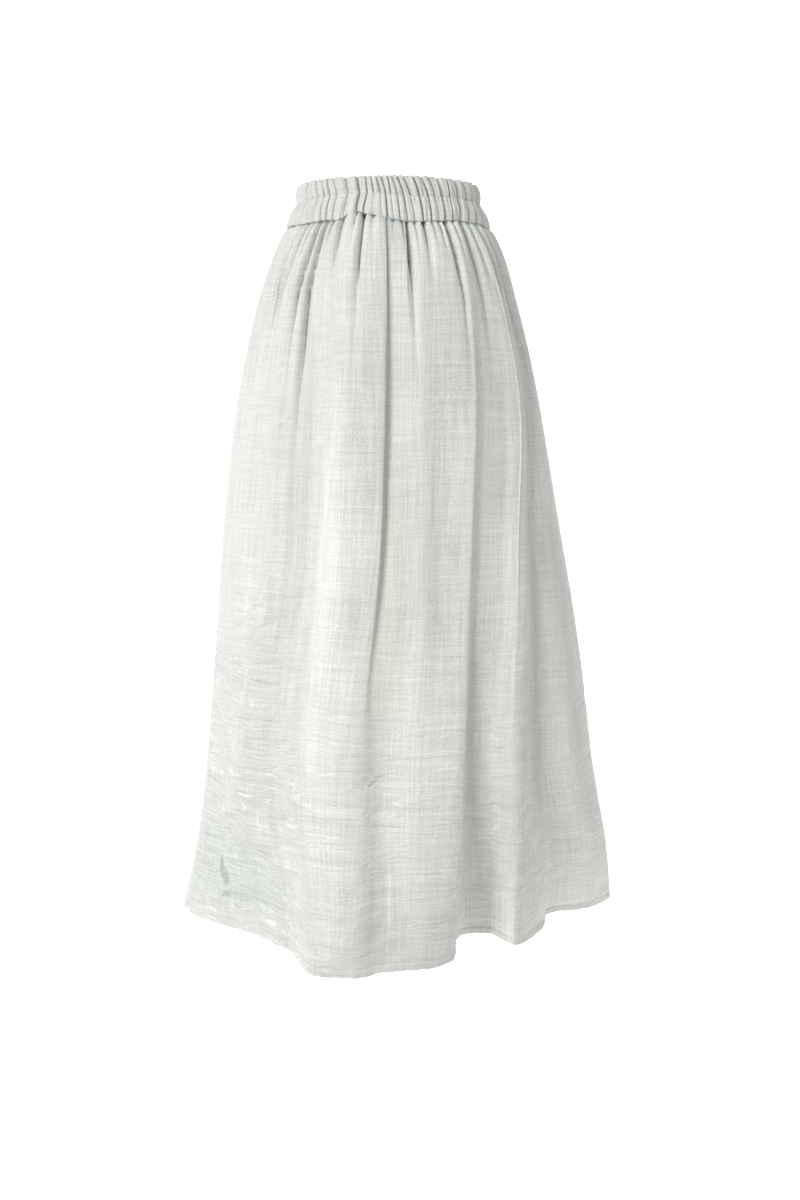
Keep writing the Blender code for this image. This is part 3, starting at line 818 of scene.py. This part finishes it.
def crease_depths(name):
    """Depth of each crease of one channel, shallower at the side seams and where a puff is narrow."""
    side = [SIDE_SEAM_CREASE]
    depth = np.concatenate([side, column(FRONT_PLEATS, name), side, column(BACK_PLEATS, name), side])
    gap = np.diff(stations("middle"))
    room = np.minimum(np.concatenate([gap[:1], gap]), np.concatenate([gap, gap[-1:]]))
    return CREASE_GAIN * depth * np.minimum(1.0, room / NARROW_PUFF)


def band_steps():
    """Places round the band, counted in puffs, with more steps near each crease; and the share across each puff."""
    puffs = len(stations("top")) - 1
    share = np.arange(BAND_STEPS) / BAND_STEPS
    share = share - STEP_CROWD * np.sin(2.0 * np.pi * share) / (2.0 * np.pi)
    index = np.repeat(np.arange(puffs), BAND_STEPS)
    return index, np.tile(share, puffs)


def puff(index, share, level):
    """Relief of the puffs from -1 at the creases to 0 on top, each leaning its own way.

    A puff has fine wrinkles, and a wide one also has a half crease that runs part of the way down from an edge.
    """
    random = np.random.default_rng(PUFF_SEED)
    angles = np.diff(stations("middle"))

    def drawn(low, high):
        return random.uniform(low, high, len(angles))[index]

    width = angles[index]
    lean = np.exp(drawn(-PUFF_LEAN, PUFF_LEAN))
    phase = drawn(0.0, 2.0 * np.pi)
    size = FINE_WRINKLE * drawn(*FINE_WRINKLE_SHARES)
    split = drawn(*HALF_CREASE_PLACES)
    slant = drawn(*HALF_CREASE_SLANTS)
    from_above = drawn(0.0, 1.0) < 0.5
    length = drawn(*HALF_CREASE_LENGTHS)
    half = drawn(*HALF_CREASE_DEPTHS) * ease(width, *HALF_CREASE_ROOM)
    top = 1.0 - np.abs(2.0 * share ** lean - 1.0) ** PUFF_POWER
    count = np.maximum(1.0, width / FINE_WRINKLE_ANGLE)
    ripple = size * np.sin(2.0 * np.pi * count * share + phase + FINE_WRINKLE_SLANT * level)
    way = np.where(from_above, level, 1.0 - level)
    narrow = np.exp(-np.abs(share - split - slant * level) * width / HALF_CREASE_ANGLE)
    half_crease = half * (1.0 - ease(way, length - HALF_CREASE_FADE, length)) * narrow
    return top - 1.0 + ripple * np.sqrt(np.maximum(top, 0.0)) - half_crease * top


def band_rows():
    """Rows down the outside of the band: angle, drop, height, relief and cloth coordinates of every point."""
    index, share = band_steps()
    at = index + share
    knots = np.arange(len(stations("top")))
    middle_rise = waves(np.interp(at, knots, stations("middle")), CHANNEL_WAVES)
    seam_rise = waves(np.interp(at, knots, stations("low")), SEAM_WAVES) + SEAM_GAP / 2.0
    rows = []
    channels = (
        ("top", "middle", "upper", BAND_TOP_DROP, CHANNEL_DROP, np.zeros(len(at)), middle_rise, CHANNEL_ROWS[0]),
        ("middle", "low", "lower", CHANNEL_DROP, SEAM_DROP, middle_rise, seam_rise, CHANNEL_ROWS[1]),
    )
    for upper, lower, name, first, last, first_rise, last_rise, count in channels:
        above = np.interp(at, knots, stations(upper))
        under = np.interp(at, knots, stations(lower))
        depth = np.interp(at, knots, crease_depths(name))
        for level in np.linspace(0.0, 1.0, count):
            angle = above + (under - above) * level
            swell = np.sin(np.pi * level) ** SWELL_POWER if 0.0 < level < 1.0 else 0.0
            bulge = puff(index, share, level)
            relief = CHANNEL_SWELL * swell + (1.0 - SWELL_CREASE_SHARE * (1.0 - swell)) * depth * bulge
            if not (name == "upper" and level == 0.0):
                relief = relief - LINE_TUCK * (1.0 - swell)
            drop = first + (last - first) * level
            height = first_rise + (last_rise - first_rise) * level - drop
            if name == "upper":
                height = height + TOP_SCALLOP * (1.0 - ease(level, 0.0, SCALLOP_REACH)) * puff(index, share, 0.0)
            height = height - SEAM_SAG * np.maximum(1.0 + bulge, 0.0) * bell(level - SAG_LEVEL, SAG_HALF_WIDTH)
            rows.append((angle, drop, height, relief, at))
        if name == "upper":
            rows.pop()
    return rows


def band_surface():
    """Points of the band's wall as rows that loop down its outside and up its inside, and its cloth coordinates."""
    outer, inner, chart = [], [], []
    for angle, drop, height, relief, at in band_rows():
        out = outward(angle, drop)
        plan = body(angle, drop)
        outer.append(np.stack([*(plan + out * relief), height], axis=-1))
        depth = np.maximum(BAND_WALL, BAND_BACKING - relief) + INNER_CREASE_SHARE * np.minimum(relief, 0.0)
        inner.append(np.stack([*(plan - out * depth), height], axis=-1))
        chart.append(np.stack([at * BAND_PUFF, np.full(len(at), drop)], axis=-1))
    last = len(inner) - 1
    kept = sorted({*range(0, last, INNER_BAND_EVERY), last}, reverse=True)
    return np.stack(outer + [inner[row] for row in kept]), np.stack(chart + [chart[row] for row in kept]), len(outer)


# Meshes

def add_object(name, data):
    """A new object with its data, linked into the scene."""
    added = bpy.data.objects.new(name, data)
    bpy.context.scene.collection.objects.link(added)
    return added


def add_piece(name, vertices, faces, chart, material):
    """One mesh object from points in millimetres, faces as lists of corners and a chart of cloth coordinates."""
    mesh = bpy.data.meshes.new(name)
    mesh.from_pydata((vertices * MM).tolist(), [], faces)
    layer = mesh.uv_layers.new(name="cloth")
    corners = np.empty(len(mesh.loops), np.int32)
    mesh.loops.foreach_get("vertex_index", corners)
    layer.data.foreach_set("uv", (chart[corners] * MM).ravel())
    mesh.validate()
    mesh.shade_smooth()
    mesh.set_sharp_from_angle(angle=np.radians(SHARP_ANGLE))
    mesh.materials.append(material)
    return add_object(name, mesh)


def grid_quads(index):
    """Faces of a whole grid of corner numbers, rows downwards and columns towards greater angles."""
    return np.stack([index[:-1, :-1], index[1:, :-1], index[1:, 1:], index[:-1, 1:]], axis=-1).reshape(-1, 4)


def panel_piece(name, panel, first, last, material):
    """A closed shell: a fine outer grid, an inner grid with some of its rows, and the edges between them."""
    outer, inner, chart = panel_surface(panel, first, last)
    last_row = len(outer) - 1
    kept = np.unique(np.concatenate([np.arange(0, EDGE_ROWS, INNER_EVERY_EDGE),
                                     np.arange(EDGE_ROWS, last_row - EDGE_ROWS, INNER_EVERY),
                                     np.arange(last_row, last_row - EDGE_ROWS, -INNER_EVERY_EDGE)]))
    rows, threads = outer.shape[:2]
    index = np.arange(rows * threads).reshape(rows, threads)
    inside = rows * threads + np.arange(len(kept) * threads).reshape(len(kept), threads)
    faces = grid_quads(index).tolist() + grid_quads(inside)[:, ::-1].tolist()
    for edge in ([inside[0], index[0]], [index[-1], inside[-1]]):
        faces += grid_quads(np.stack(edge)).tolist()
    for number in range(len(kept) - 1):
        rows_here = range(kept[number], kept[number + 1] + 1)
        left = [index[row, 0] for row in rows_here]
        right = [index[row, -1] for row in rows_here]
        faces.append([int(corner) for corner in left[::-1] + [inside[number, 0], inside[number + 1, 0]]])
        faces.append([int(corner) for corner in right + [inside[number + 1, -1], inside[number, -1]]])
    vertices = np.concatenate([outer.reshape(-1, 3), inner[kept].reshape(-1, 3)])
    chart = np.concatenate([chart.reshape(-1, 2), chart[kept].reshape(-1, 2)])
    return add_piece(name, vertices, faces, chart, material), outer


def band_piece(name, material):
    """The band's closed wall, round which both its rows and its columns close."""
    grid, chart, outer_rows = band_surface()
    rows, columns = grid.shape[:2]
    index = np.arange(rows * columns).reshape(rows, columns)
    faces = grid_quads(np.pad(index, ((0, 1), (0, 1)), mode="wrap"))
    piece = add_piece(name, grid.reshape(-1, 3), faces.tolist(), chart.reshape(-1, 2), material)
    return piece, grid[:outer_rows]


def stitch_row(name, path, normal, material):
    """A row of stitches: capsules laid end to end along a path, sunk half into the cloth."""
    steps = np.linalg.norm(np.diff(path, axis=0), axis=1)
    along = np.concatenate([[0.0], np.cumsum(steps)])
    centres = np.arange(STITCH_PITCH, along[-1] - STITCH_PITCH, STITCH_PITCH)

    def at(distance, values):
        return np.stack([np.interp(distance, along, values[:, axis]) for axis in range(3)], axis=-1)

    middle = at(centres, path)
    ahead = unit(at(centres + STITCH_LENGTH / 2.0, path) - at(centres - STITCH_LENGTH / 2.0, path))
    up = unit(at(centres, normal))
    side = np.cross(ahead, up)
    girth = np.array(RING_GIRTHS)[:, None] * STITCH_RADIUS
    turn = np.arange(RING_POINTS) * 2.0 * np.pi / RING_POINTS
    lift = (girth * np.sin(turn))[None, :, :, None] * up[:, None, None]
    spread = (girth * np.cos(turn) * STITCH_FLATTEN)[None, :, :, None] * side[:, None, None]
    length = (np.array(RING_PLACES) * STITCH_LENGTH / 2.0)[None, :, None, None] * ahead[:, None, None]
    points = middle[:, None, None] + length + spread + lift
    index = np.arange(points.size // 3).reshape(points.shape[:3])
    beside = np.roll(index, -1, axis=2)
    walls = np.stack([index[:, :-1], beside[:, :-1], beside[:, 1:], index[:, 1:]], axis=-1).reshape(-1, 4)
    faces = walls.tolist() + index[:, 0, ::-1].tolist() + index[:, -1].tolist()
    chart = np.repeat(np.stack([centres, np.zeros(len(centres))], axis=-1), index[0].size, axis=0)
    return add_piece(name, points.reshape(-1, 3), faces, chart, material)


# Shader building

class Value:
    """A shader socket, whose arithmetic adds Math nodes to its shader."""

    def __init__(self, shader, socket):
        self.shader = shader
        self.socket = socket

    def maths(self, operation, *others):
        return self.shader.node("ShaderNodeMath", (self,) + others, operation=operation)

    def __add__(self, other):
        return self.maths("ADD", other)

    def __sub__(self, other):
        return self.maths("SUBTRACT", other)

    def __rsub__(self, other):
        return self.shader.node("ShaderNodeMath", (other, self), operation="SUBTRACT")

    def __mul__(self, other):
        return self.maths("MULTIPLY", other)

    def size(self):
        return self.maths("ABSOLUTE")

    __radd__ = __add__
    __rmul__ = __mul__


class Shader:
    """One material's node tree round its Principled shader."""

    def __init__(self, name):
        self.material = bpy.data.materials.new(name)
        self.material.use_nodes = True
        self.tree = self.material.node_tree
        self.principled = self.tree.nodes["Principled BSDF"]

    def node(self, kind, inputs=(), output=0, **settings):
        """Adds a node, makes its settings, then gives each input its value or link, by number or by name."""
        node = self.tree.nodes.new(kind)
        for name, value in settings.items():
            setattr(node, name, value)
        pairs = inputs.items() if isinstance(inputs, dict) else enumerate(inputs)
        for key, value in pairs:
            if isinstance(value, Value):
                self.tree.links.new(value.socket, node.inputs[key])
            else:
                node.inputs[key].default_value = value
        return Value(self, node.outputs[output])

    def feed(self, name, value):
        """Gives the Principled shader's input a value or a link."""
        if isinstance(value, Value):
            self.tree.links.new(value.socket, self.principled.inputs[name])
        else:
            self.principled.inputs[name].default_value = value

    def chart(self):
        """The two cloth coordinates, across and down, in metres."""
        uv = self.node("ShaderNodeUVMap", uv_map="cloth")
        parts = self.node("ShaderNodeSeparateXYZ", (uv,))
        return parts, Value(self, parts.socket.node.outputs[1])

    def noise(self, x, y, grain):
        """A grain's flat noise at two cloth coordinates, about 0.5 in the middle."""
        across = x.maths("MULTIPLY_ADD", grain.across, grain.shift_across)
        down = y.maths("MULTIPLY_ADD", grain.down, grain.shift_down)
        at = self.node("ShaderNodeCombineXYZ", (across, down, 0.0))
        inputs = {"Vector": at, "Scale": 1.0, "Detail": grain.detail, "Distortion": grain.distortion}
        return self.node("ShaderNodeTexNoise", inputs, noise_dimensions="2D")

    def between(self, value, low, high):
        """Smooth step of a value from 0 at low to 1 at high."""
        return self.node("ShaderNodeMapRange", (value, low, high), interpolation_type="SMOOTHSTEP")

    def line(self, value, width):
        """Thin lines where a noise crosses its middle value, 1 on the line."""
        return self.between((value - 0.5).size(), width, 0.0)

    def oval(self, x, y, place, drop, half_length, half_width, slope=0.0):
        """Soft oval mask on the cloth, turned by a slope in degrees, 1 at its centre and 0 at its edge."""
        along, across = x - place * MM, y - drop * MM
        if slope:
            cos, sin = np.cos(np.radians(slope)), np.sin(np.radians(slope))
            along, across = along * cos + across * sin, across * cos - along * sin
        along = along * (1.0 / (half_length * MM))
        across = across * (1.0 / (half_width * MM))
        return self.between(along * along + across * across, 1.0, 0.0)

    def mix(self, share, first, second):
        """Colour between two colours."""
        return self.node("ShaderNodeMix", {0: share, 6: first, 7: second}, output=2, data_type="RGBA")

    def scaled(self, colour, factor):
        """Colour times a number."""
        return self.node("ShaderNodeVectorMath", {0: colour, "Scale": factor}, operation="SCALE")


LINEN = (0.750, 0.766, 0.722, 1.0)
LINEN_SHADE = (0.718, 0.738, 0.702, 1.0)
# Painted light: a warm glow laid on the recess right of the centre lap.
LINEN_WARM_PAINTED_LIGHT = (0.760, 0.755, 0.630, 1.0)
# Painted shade: a blue-grey cast under the band's lower edge.
LINEN_BLUE_PAINTED_SHADE = (0.560, 0.620, 0.670, 1.0)
# Painted shadow: near black, in the hollows where the gathers go in under the band.
LINEN_HOLLOW_PAINTED_SHADOW = (0.100, 0.110, 0.100, 1.0)
LINEN_LEAF = (0.490, 0.520, 0.485, 1.0)
LINEN_DARK = (0.580, 0.605, 0.580, 1.0)
# Painted shade: a cool grey over the lower left of the front.
LINEN_COOL_PAINTED_SHADE = (0.660, 0.688, 0.655, 1.0)
# Painted shade: a grey over the troughs and the shaded cloth near the top of the front.
LINEN_GREY_PAINTED_SHADE = (0.655, 0.668, 0.628, 1.0)
# The colour of a thick pale thread, also used as painted highlight on the lit ridges.
LINEN_PALE_SLUB_AND_HIGHLIGHT = (0.870, 0.875, 0.840, 1.0)
LINEN_ROUGHNESS, LINEN_SHEEN, SHEEN_ROUGHNESS, LINEN_SPECULAR = 0.9, 0.12, 0.5, 0.25
THREAD_ROUGHNESS, THREAD_TWIST = 0.75, 2600.0

# A grain is a noise in the cloth: its repeats in a metre across and down, its shifts, its detail and distortion, how
# much it shades the cloth and how far it lifts it in millimetres.
Grain = namedtuple("Grain", "across down shift_across shift_down detail distortion tone lift")
WEFT = Grain(15, 450, 0, 0, 1, 0, 0.21, 0.16)
WARP = Grain(450, 13, 0, 0, 1, 0, 0.32, 0.14)
WEFT_SLUB = Grain(22, 250, 7, 0, 2, 0, 0.05, 0.16)
WARP_SLUB = Grain(270, 15, 3, 0, 2, 0, 0.05, 0.16)
HEATHER = Grain(640, 640, 0, 0, 0, 0, 0.27, 0.07)
# Soft streaks down the cloth: a lift in the bump, and painted shade in the colour.
STREAK_LIFT_AND_SHADE = Grain(58, 2.6, 0, 2, 1, 0, 0.07, 0.6)
WAVE = Grain(13, 60, 0, 0, 2, 1, 0, 0.8)
CRUMPLE = Grain(24, 34, 9, 0, 2, 0.6, 0, 0.9)
CLOUD = Grain(9, 8, 0, 4, 1, 0, 0, 0)
DENSE = Grain(7, 9, 1, 6, 2, 0, 0, 0)
WEFT_SWAY = Grain(9, 6, 0, 0, 2, 0, 0, 0)
WARP_SWAY = Grain(5, 8, 0, 0, 2, 0, 0, 0)

# How the grains change over the cloth. Stretches run in metres down it, or across it, from none to full.
# The last stretch is where the painted shade on the upper cloth fades out.
LOW_STRETCH, ROUGH_STRETCH, TOP_SHADE_STRETCH = (0.30, 0.80), (0.30, 0.14), (0.34, 0.10)
WEFT_SLUB_SHARE, WARP_SLUB_SHARE, DENSE_SHARE, CLOUD_SHARE = (0.64, 0.76), (0.62, 0.76), (0.40, 0.62), (0.3, 0.7)
SWAY_SIZE, LOW_SWAY, WARP_SWAY_SIZE, WAVE_SWAY = 0.006, 0.026, 0.003, 5.385
# The last tone here is how much painted shade darkens the upper cloth.
MEAN_TONE, LOW_TONE, ROUGH_TONE, TOP_PAINTED_SHADE = 0.985, 0.08, 0.14, 0.03
WAVE_LINE, CRUMPLE_LINE = 0.030, 0.020
LINE_TONE, DENSE_LINE_TONE, LOW_LINE_TONE, ROUGH_LINE_TONE, SPARSE = 0.02, 0.03, 0.06, 0.09, 0.3
LOW_WAVE, ROUGH_WAVE = 1.1, 1.6
LINE_LIFT, ROUGH_LINE_LIFT = 0.08, 0.14
PRESSED_SHARE = 0.6
# The band's cloth a little darker overall, and painted shade along its creases, a given share of a puff wide on each
# side.
BAND_SHADE, BAND_CREASE_PAINTED_SHADE, BAND_SHADED_CREASE_WIDTH = 0.97, 0.36, 0.08
# Painted shadow on the hem's turn, growing across the stretch towards the right.
HEM_PAINTED_SHADOW, HEM_SHADOW_STRETCH = 0.07, (0.38, 0.48)

# A patch of another tint, a real stain or thread mark on some patches and painted light and shade on others: its place
# across the cut cloth and its drop, its half sizes, and its strength, which is over 1 where the middle is all of the
# tint.
StainAndPaintedLight = namedtuple("StainAndPaintedLight", "place drop half_width half_height tint strength")

# A crease pressed into the cloth: its place and drop, its slope from level, its half sizes and its height, which is
# negative where it goes in.
Pressed = namedtuple("Pressed", "place drop slope half_length half_width height")


def linen(name, stains_and_painted_light=(), creases=(), hem=False, band=False):
    """Slubbed plain-weave linen.

    Long thin noise along the warp and along the weft makes a grid of uneven threads, with a heather over it, a few
    thick threads, soft streaks down the cloth, partly lifted and partly painted shade, and soft clouds. The relief
    is in millimetres: the threads, waves along the weft and fine pale crumple lines, which are the level lines of
    two slow noises, denser in some places and roughest low on the left. Painted shade darkens the upper cloth and
    the band along its creases, and painted shadow darkens the hem's turn at its right; patches of painted light and
    shade lie among the stains.
    """
    shader = Shader(name)
    x, y = shader.chart()
    low = shader.between(y, *LOW_STRETCH)
    rough = low * shader.between(x, *ROUGH_STRETCH)
    sway = shader.noise(x, y, WEFT_SWAY) * (SWAY_SIZE + low * LOW_SWAY)
    weft_y = y + sway
    warp_x = x + shader.noise(x, y, WARP_SWAY) * WARP_SWAY_SIZE
    weft = shader.noise(x, weft_y, WEFT)
    warp = shader.noise(warp_x, y, WARP)
    weft_slub = shader.between(shader.noise(x, weft_y, WEFT_SLUB), *WEFT_SLUB_SHARE)
    warp_slub = shader.between(shader.noise(warp_x, y, WARP_SLUB), *WARP_SLUB_SHARE)
    heather = shader.noise(x, y, HEATHER)
    streak_lift_and_shade = shader.noise(warp_x, y, STREAK_LIFT_AND_SHADE)
    wave = shader.noise(x + sway * WAVE_SWAY, y, WAVE)
    crumple = shader.noise(x, y, CRUMPLE)
    lines = shader.line(wave, WAVE_LINE) + shader.line(crumple, CRUMPLE_LINE)
    dense = shader.between(shader.noise(x, y, DENSE), *DENSE_SHARE)

    # The weave's tone, with painted shade from the soft streaks.
    tone = (MEAN_TONE + (weft - 0.5) * (WEFT.tone + low * LOW_TONE + rough * ROUGH_TONE)
            + (warp - 0.5) * (WARP.tone - low * LOW_TONE) + (heather - 0.5) * HEATHER.tone
            + (streak_lift_and_shade - 0.5) * STREAK_LIFT_AND_SHADE.tone + weft_slub * WEFT_SLUB.tone + warp_slub * WARP_SLUB.tone)
    tone = tone + lines * (LINE_TONE + (SPARSE + dense) * (DENSE_LINE_TONE + low * LOW_LINE_TONE)
                           + rough * ROUGH_LINE_TONE)
    # Painted shade: the upper cloth and the band darker towards the top.
    tone = tone - shader.between(y, *TOP_SHADE_STRETCH) * TOP_PAINTED_SHADE
    # Painted shade: the band darker along each crease, and a little darker overall.
    if band:
        away = ((x * (1.0 / (BAND_PUFF * MM)) + 0.5).maths("FRACT") - 0.5).size()
        tone = tone * (BAND_SHADE - BAND_CREASE_PAINTED_SHADE * shader.between(away, BAND_SHADED_CREASE_WIDTH, 0.0))
    # Painted shadow: the hem's turn darker towards the right.
    if hem:
        groove = (HEM_DROP - HEM_TURN) * MM
        turned = shader.between(y, groove - MM, groove + MM)
        tone = tone * (1.0 - turned * shader.between(x, *HEM_SHADOW_STRETCH) * HEM_PAINTED_SHADOW)

    colour = shader.mix(shader.between(shader.noise(x, y, CLOUD), *CLOUD_SHARE), LINEN_SHADE, LINEN)
    # Stains, and patches of painted light and shade, mixed into the colour.
    for tint_patch in stains_and_painted_light:
        mask = shader.oval(x, y, tint_patch.place, tint_patch.drop, tint_patch.half_width, tint_patch.half_height)
        colour = shader.mix(mask * tint_patch.strength, colour, tint_patch.tint)
    relief = (weft * WEFT.lift + warp * WARP.lift + weft_slub * WEFT_SLUB.lift + warp_slub * WARP_SLUB.lift
              + heather * HEATHER.lift + streak_lift_and_shade * STREAK_LIFT_AND_SHADE.lift + crumple * CRUMPLE.lift
              + wave * (WAVE.lift + low * LOW_WAVE + rough * ROUGH_WAVE)
              + lines * (LINE_LIFT + dense * (LINE_LIFT + low * LINE_LIFT) + rough * ROUGH_LINE_LIFT))
    for row in creases:
        mask = shader.oval(x, y, row.place, row.drop, row.half_length, row.half_width, row.slope)
        relief = relief + mask * (PRESSED_SHARE * row.height)

    shader.feed("Base Color", shader.scaled(colour, tone))
    shader.feed("Roughness", LINEN_ROUGHNESS)
    shader.feed("Sheen Weight", LINEN_SHEEN)
    shader.feed("Sheen Roughness", SHEEN_ROUGHNESS)
    shader.feed("Specular IOR Level", LINEN_SPECULAR)
    shader.feed("Normal", shader.node("ShaderNodeBump", {"Strength": 1.0, "Distance": MM, "Height": relief}))
    return shader.material


def thread_material(name):
    """Matt sewing thread, with fine uneven tone along each stitch."""
    shader = Shader(name)
    where = shader.node("ShaderNodeTexCoord", output=3)
    twist = shader.node("ShaderNodeTexNoise", {"Vector": where, "Scale": THREAD_TWIST, "Detail": 1.0})
    shader.feed("Base Color", shader.mix(shader.between(twist, 0.35, 0.65), LINEN_SHADE, LINEN))
    shader.feed("Roughness", THREAD_ROUGHNESS)
    return shader.material


# Light, floor and camera

def backdrop():
    """White paper sweep: a floor that turns up through a quarter circle into a wall."""
    turn = np.radians(np.linspace(0.0, 90.0, 25))
    curve_y = SWEEP_BACK - SWEEP_RADIUS + SWEEP_RADIUS * np.sin(turn)
    curve_z = SWEEP_FLOOR + SWEEP_RADIUS - SWEEP_RADIUS * np.cos(turn)
    profile = [(SWEEP_FRONT, SWEEP_FLOOR), *zip(curve_y, curve_z), (SWEEP_BACK, SWEEP_TOP)]
    vertices = [(side * SWEEP_HALF_WIDTH, y, z) for y, z in profile for side in (-1.0, 1.0)]
    faces = [(2 * row, 2 * row + 1, 2 * row + 3, 2 * row + 2) for row in range(len(profile) - 1)]
    mesh = bpy.data.meshes.new("paper_sweep")
    mesh.from_pydata(vertices, [], faces)
    mesh.shade_smooth()
    shader = Shader("white paper")
    shader.feed("Base Color", PAPER)
    shader.feed("Roughness", PAPER_ROUGHNESS)
    shader.feed("Emission Color", WHITE)
    shader.feed("Emission Strength", PAPER_GLOW)
    mesh.materials.append(shader.material)
    add_object("paper_sweep", mesh)


def lights():
    """Plain soft light: pale surroundings, a large key from the left front, a weak fill and a small side light."""
    world = bpy.data.worlds.new("studio")
    world.use_nodes = True
    background = world.node_tree.nodes["Background"]
    background.inputs["Color"].default_value = WHITE
    background.inputs["Strength"].default_value = ROOM_LIGHT
    bpy.context.scene.world = world
    for lamp in LAMPS:
        data = bpy.data.lights.new(lamp.name, "AREA")
        data.size = lamp.size
        data.energy = lamp.power
        x, y, z = np.array(lamp.place) - np.array(lamp.aim)
        light = add_object(lamp.name, data)
        light.location = lamp.place
        light.rotation_euler = (np.arctan2(np.hypot(x, y), z), 0.0, np.arctan2(y, x) + np.pi / 2.0)


def camera():
    """The photograph's view."""
    data = bpy.data.cameras.new("camera")
    data.lens = CAMERA_LENS
    view = add_object("camera", data)
    view.location = CAMERA_PLACE
    view.rotation_euler = (np.radians(CAMERA_TILT), 0.0, 0.0)
    bpy.context.scene.camera = view


# The skirt

CREASES_FRONT = table(
    Pressed,
    (344, 690, -24, 16, 2.2, -1.6),
    (352, 682, -12, 14, 1.6, 0.9),
    (424, 640, -48, 26, 1.6, -0.4),
    (432, 628, -40, 18, 1.5, 0.4),
    (121, 492, -42, 24, 1.8, -1.0),
    (130, 498, 22, 30, 1.6, 0.9),
    (150, 508, -18, 30, 1.8, -0.9),
    (118, 540, -55, 34, 1.7, 0.9),
    (150, 556, 14, 34, 1.8, -0.8),
    (171, 359, 4, 30, 1.8, 1.0),
    (161, 261, -30, 26, 1.6, 0.8),
    (185, 268, 34, 20, 1.5, -0.7),
    (90, 868, -28, 34, 2.2, 1.4),
    (112, 880, -24, 28, 2.0, -1.2),
    (70, 880, -34, 24, 2.2, 1.2),
    (419, 800, 8, 26, 1.6, 0.8),
    (520, 640, -30, 26, 1.7, 0.8),
    (600, 560, 24, 26, 1.7, -0.8),
)
CREASES_BACK = table(
    Pressed,
    (1010, 420, -30, 30, 1.8, -1.0),
    (1060, 520, 24, 34, 1.8, 0.9),
    (1200, 660, -16, 40, 2.0, 1.0),
    (1300, 560, 40, 26, 1.7, -0.9),
    (1420, 740, -22, 40, 2.0, 1.1),
    (1500, 600, 18, 30, 1.8, -0.9),
)

# Real stains and thread marks of the front, with patches of painted light and shade among them.
STAINS_AND_PAINTED_LIGHT_FRONT = table(
    StainAndPaintedLight,
    # Painted warm light in the recess right of the centre lap.
    (357, 470, 27, 180, LINEN_WARM_PAINTED_LIGHT, 0.42),
    (368, 600, 27, 130, LINEN_WARM_PAINTED_LIGHT, 0.35),
    # Painted highlight on the bright ridge left of the centre.
    (277, 460, 28, 280, LINEN_PALE_SLUB_AND_HIGHLIGHT, 0.8),
    # Painted shade near the top and along two troughs.
    (352, 50, 50, 62, LINEN_GREY_PAINTED_SHADE, 0.6),
    (318, 210, 26, 190, LINEN_GREY_PAINTED_SHADE, 0.8),
    (200, 340, 24, 230, LINEN_GREY_PAINTED_SHADE, 0.6),
    # Painted highlights on two lower ridges.
    (300, 700, 36, 250, LINEN_PALE_SLUB_AND_HIGHLIGHT, 0.5),
    (402, 690, 44, 250, LINEN_PALE_SLUB_AND_HIGHLIGHT, 0.65),
    # Painted shade over the lower left.
    (90, 830, 120, 110, LINEN_COOL_PAINTED_SHADE, 0.6),
    (180, 850, 70, 60, LINEN_COOL_PAINTED_SHADE, 0.4),
    (76, 851, 11, 15, LINEN_LEAF, 2.0),
    (68, 839, 6, 18, LINEN_LEAF, 2.0),
    # A thick pale thread, with darker threads beside it.
    (374, 835, 2.2, 56, LINEN_PALE_SLUB_AND_HIGHLIGHT, 0.9),
    (366, 830, 3.0, 50, LINEN_DARK, 0.35),
    (381, 838, 2.6, 56, LINEN_DARK, 0.35),
    # Painted blue-grey shade under the band's lower edge.
    (376, 27, 16, 9, LINEN_BLUE_PAINTED_SHADE, 0.8),
    (320, 26, 9, 6, LINEN_BLUE_PAINTED_SHADE, 0.6),
    (554, 28, 16, 10, LINEN_BLUE_PAINTED_SHADE, 0.5),
)

# Painted shadow: near-black patches where the deeper gathers go in under the band, by their angles at the seam.
HOLLOW_ANGLES = (-40, -35, -25, -13, 11, 20, 33, 44)
HOLLOW_DROP, HOLLOW_HALF_WIDTH, HOLLOW_HALF_HEIGHT, HOLLOW_STRENGTH = SEAM_DROP + 2.5, 3.4, 7.0, 0.8
SEAM_HOLLOW_SHADOWS = tuple(
    StainAndPaintedLight(place, HOLLOW_DROP, HOLLOW_HALF_WIDTH, HOLLOW_HALF_HEIGHT, LINEN_HOLLOW_PAINTED_SHADOW, HOLLOW_STRENGTH)
    for place in cut_place_of(np.array(HOLLOW_ANGLES, float)).tolist()
)


def dress():
    """Makes every piece, parents it to the root empty, and hides the imported part that each cloth piece replaces."""
    skirt_linen = linen("skirt linen", STAINS_AND_PAINTED_LIGHT_FRONT + SEAM_HOLLOW_SHADOWS, CREASES_FRONT, hem=True)
    back_linen = linen("skirt linen back", (), CREASES_BACK, hem=True)
    band_linen = linen("band linen", band=True)
    thread = thread_material("sewing thread")

    panels = (
        ("front_cloth", "front", LEFT_SIDE, RIGHT_SIDE, skirt_linen, "skirt_front"),
        ("back_cloth", "back", RIGHT_SIDE, LEFT_SIDE + 360.0, back_linen, "skirt_back"),
    )
    drops = panel_drops()
    hem_row = int(np.argmin(np.abs(drops - (HEM_DROP - HEM_TURN))))
    for name, panel, first, last, material, node in panels:
        piece, outer = panel_piece(name, panel, first, last, material)
        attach(piece, "root")
        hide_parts(node)
        stitches = stitch_row("hem_stitches_" + panel, outer[hem_row], surface_normals(outer)[hem_row], thread)
        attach(stitches, "root")

    band, outer = band_piece("band_cloth", band_linen)
    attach(band, "root")
    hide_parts("waistband")
    line, normal = (np.concatenate([rows[CHANNEL_ROWS[0] - 1], rows[CHANNEL_ROWS[0] - 1][:1]])
                    for rows in (outer, surface_normals(outer)))
    stitches = stitch_row("channel_stitches", line, normal, thread)
    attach(stitches, "root")


camera()
lights()
backdrop()
dress()
bpy.context.scene.view_settings.view_transform = "Standard"
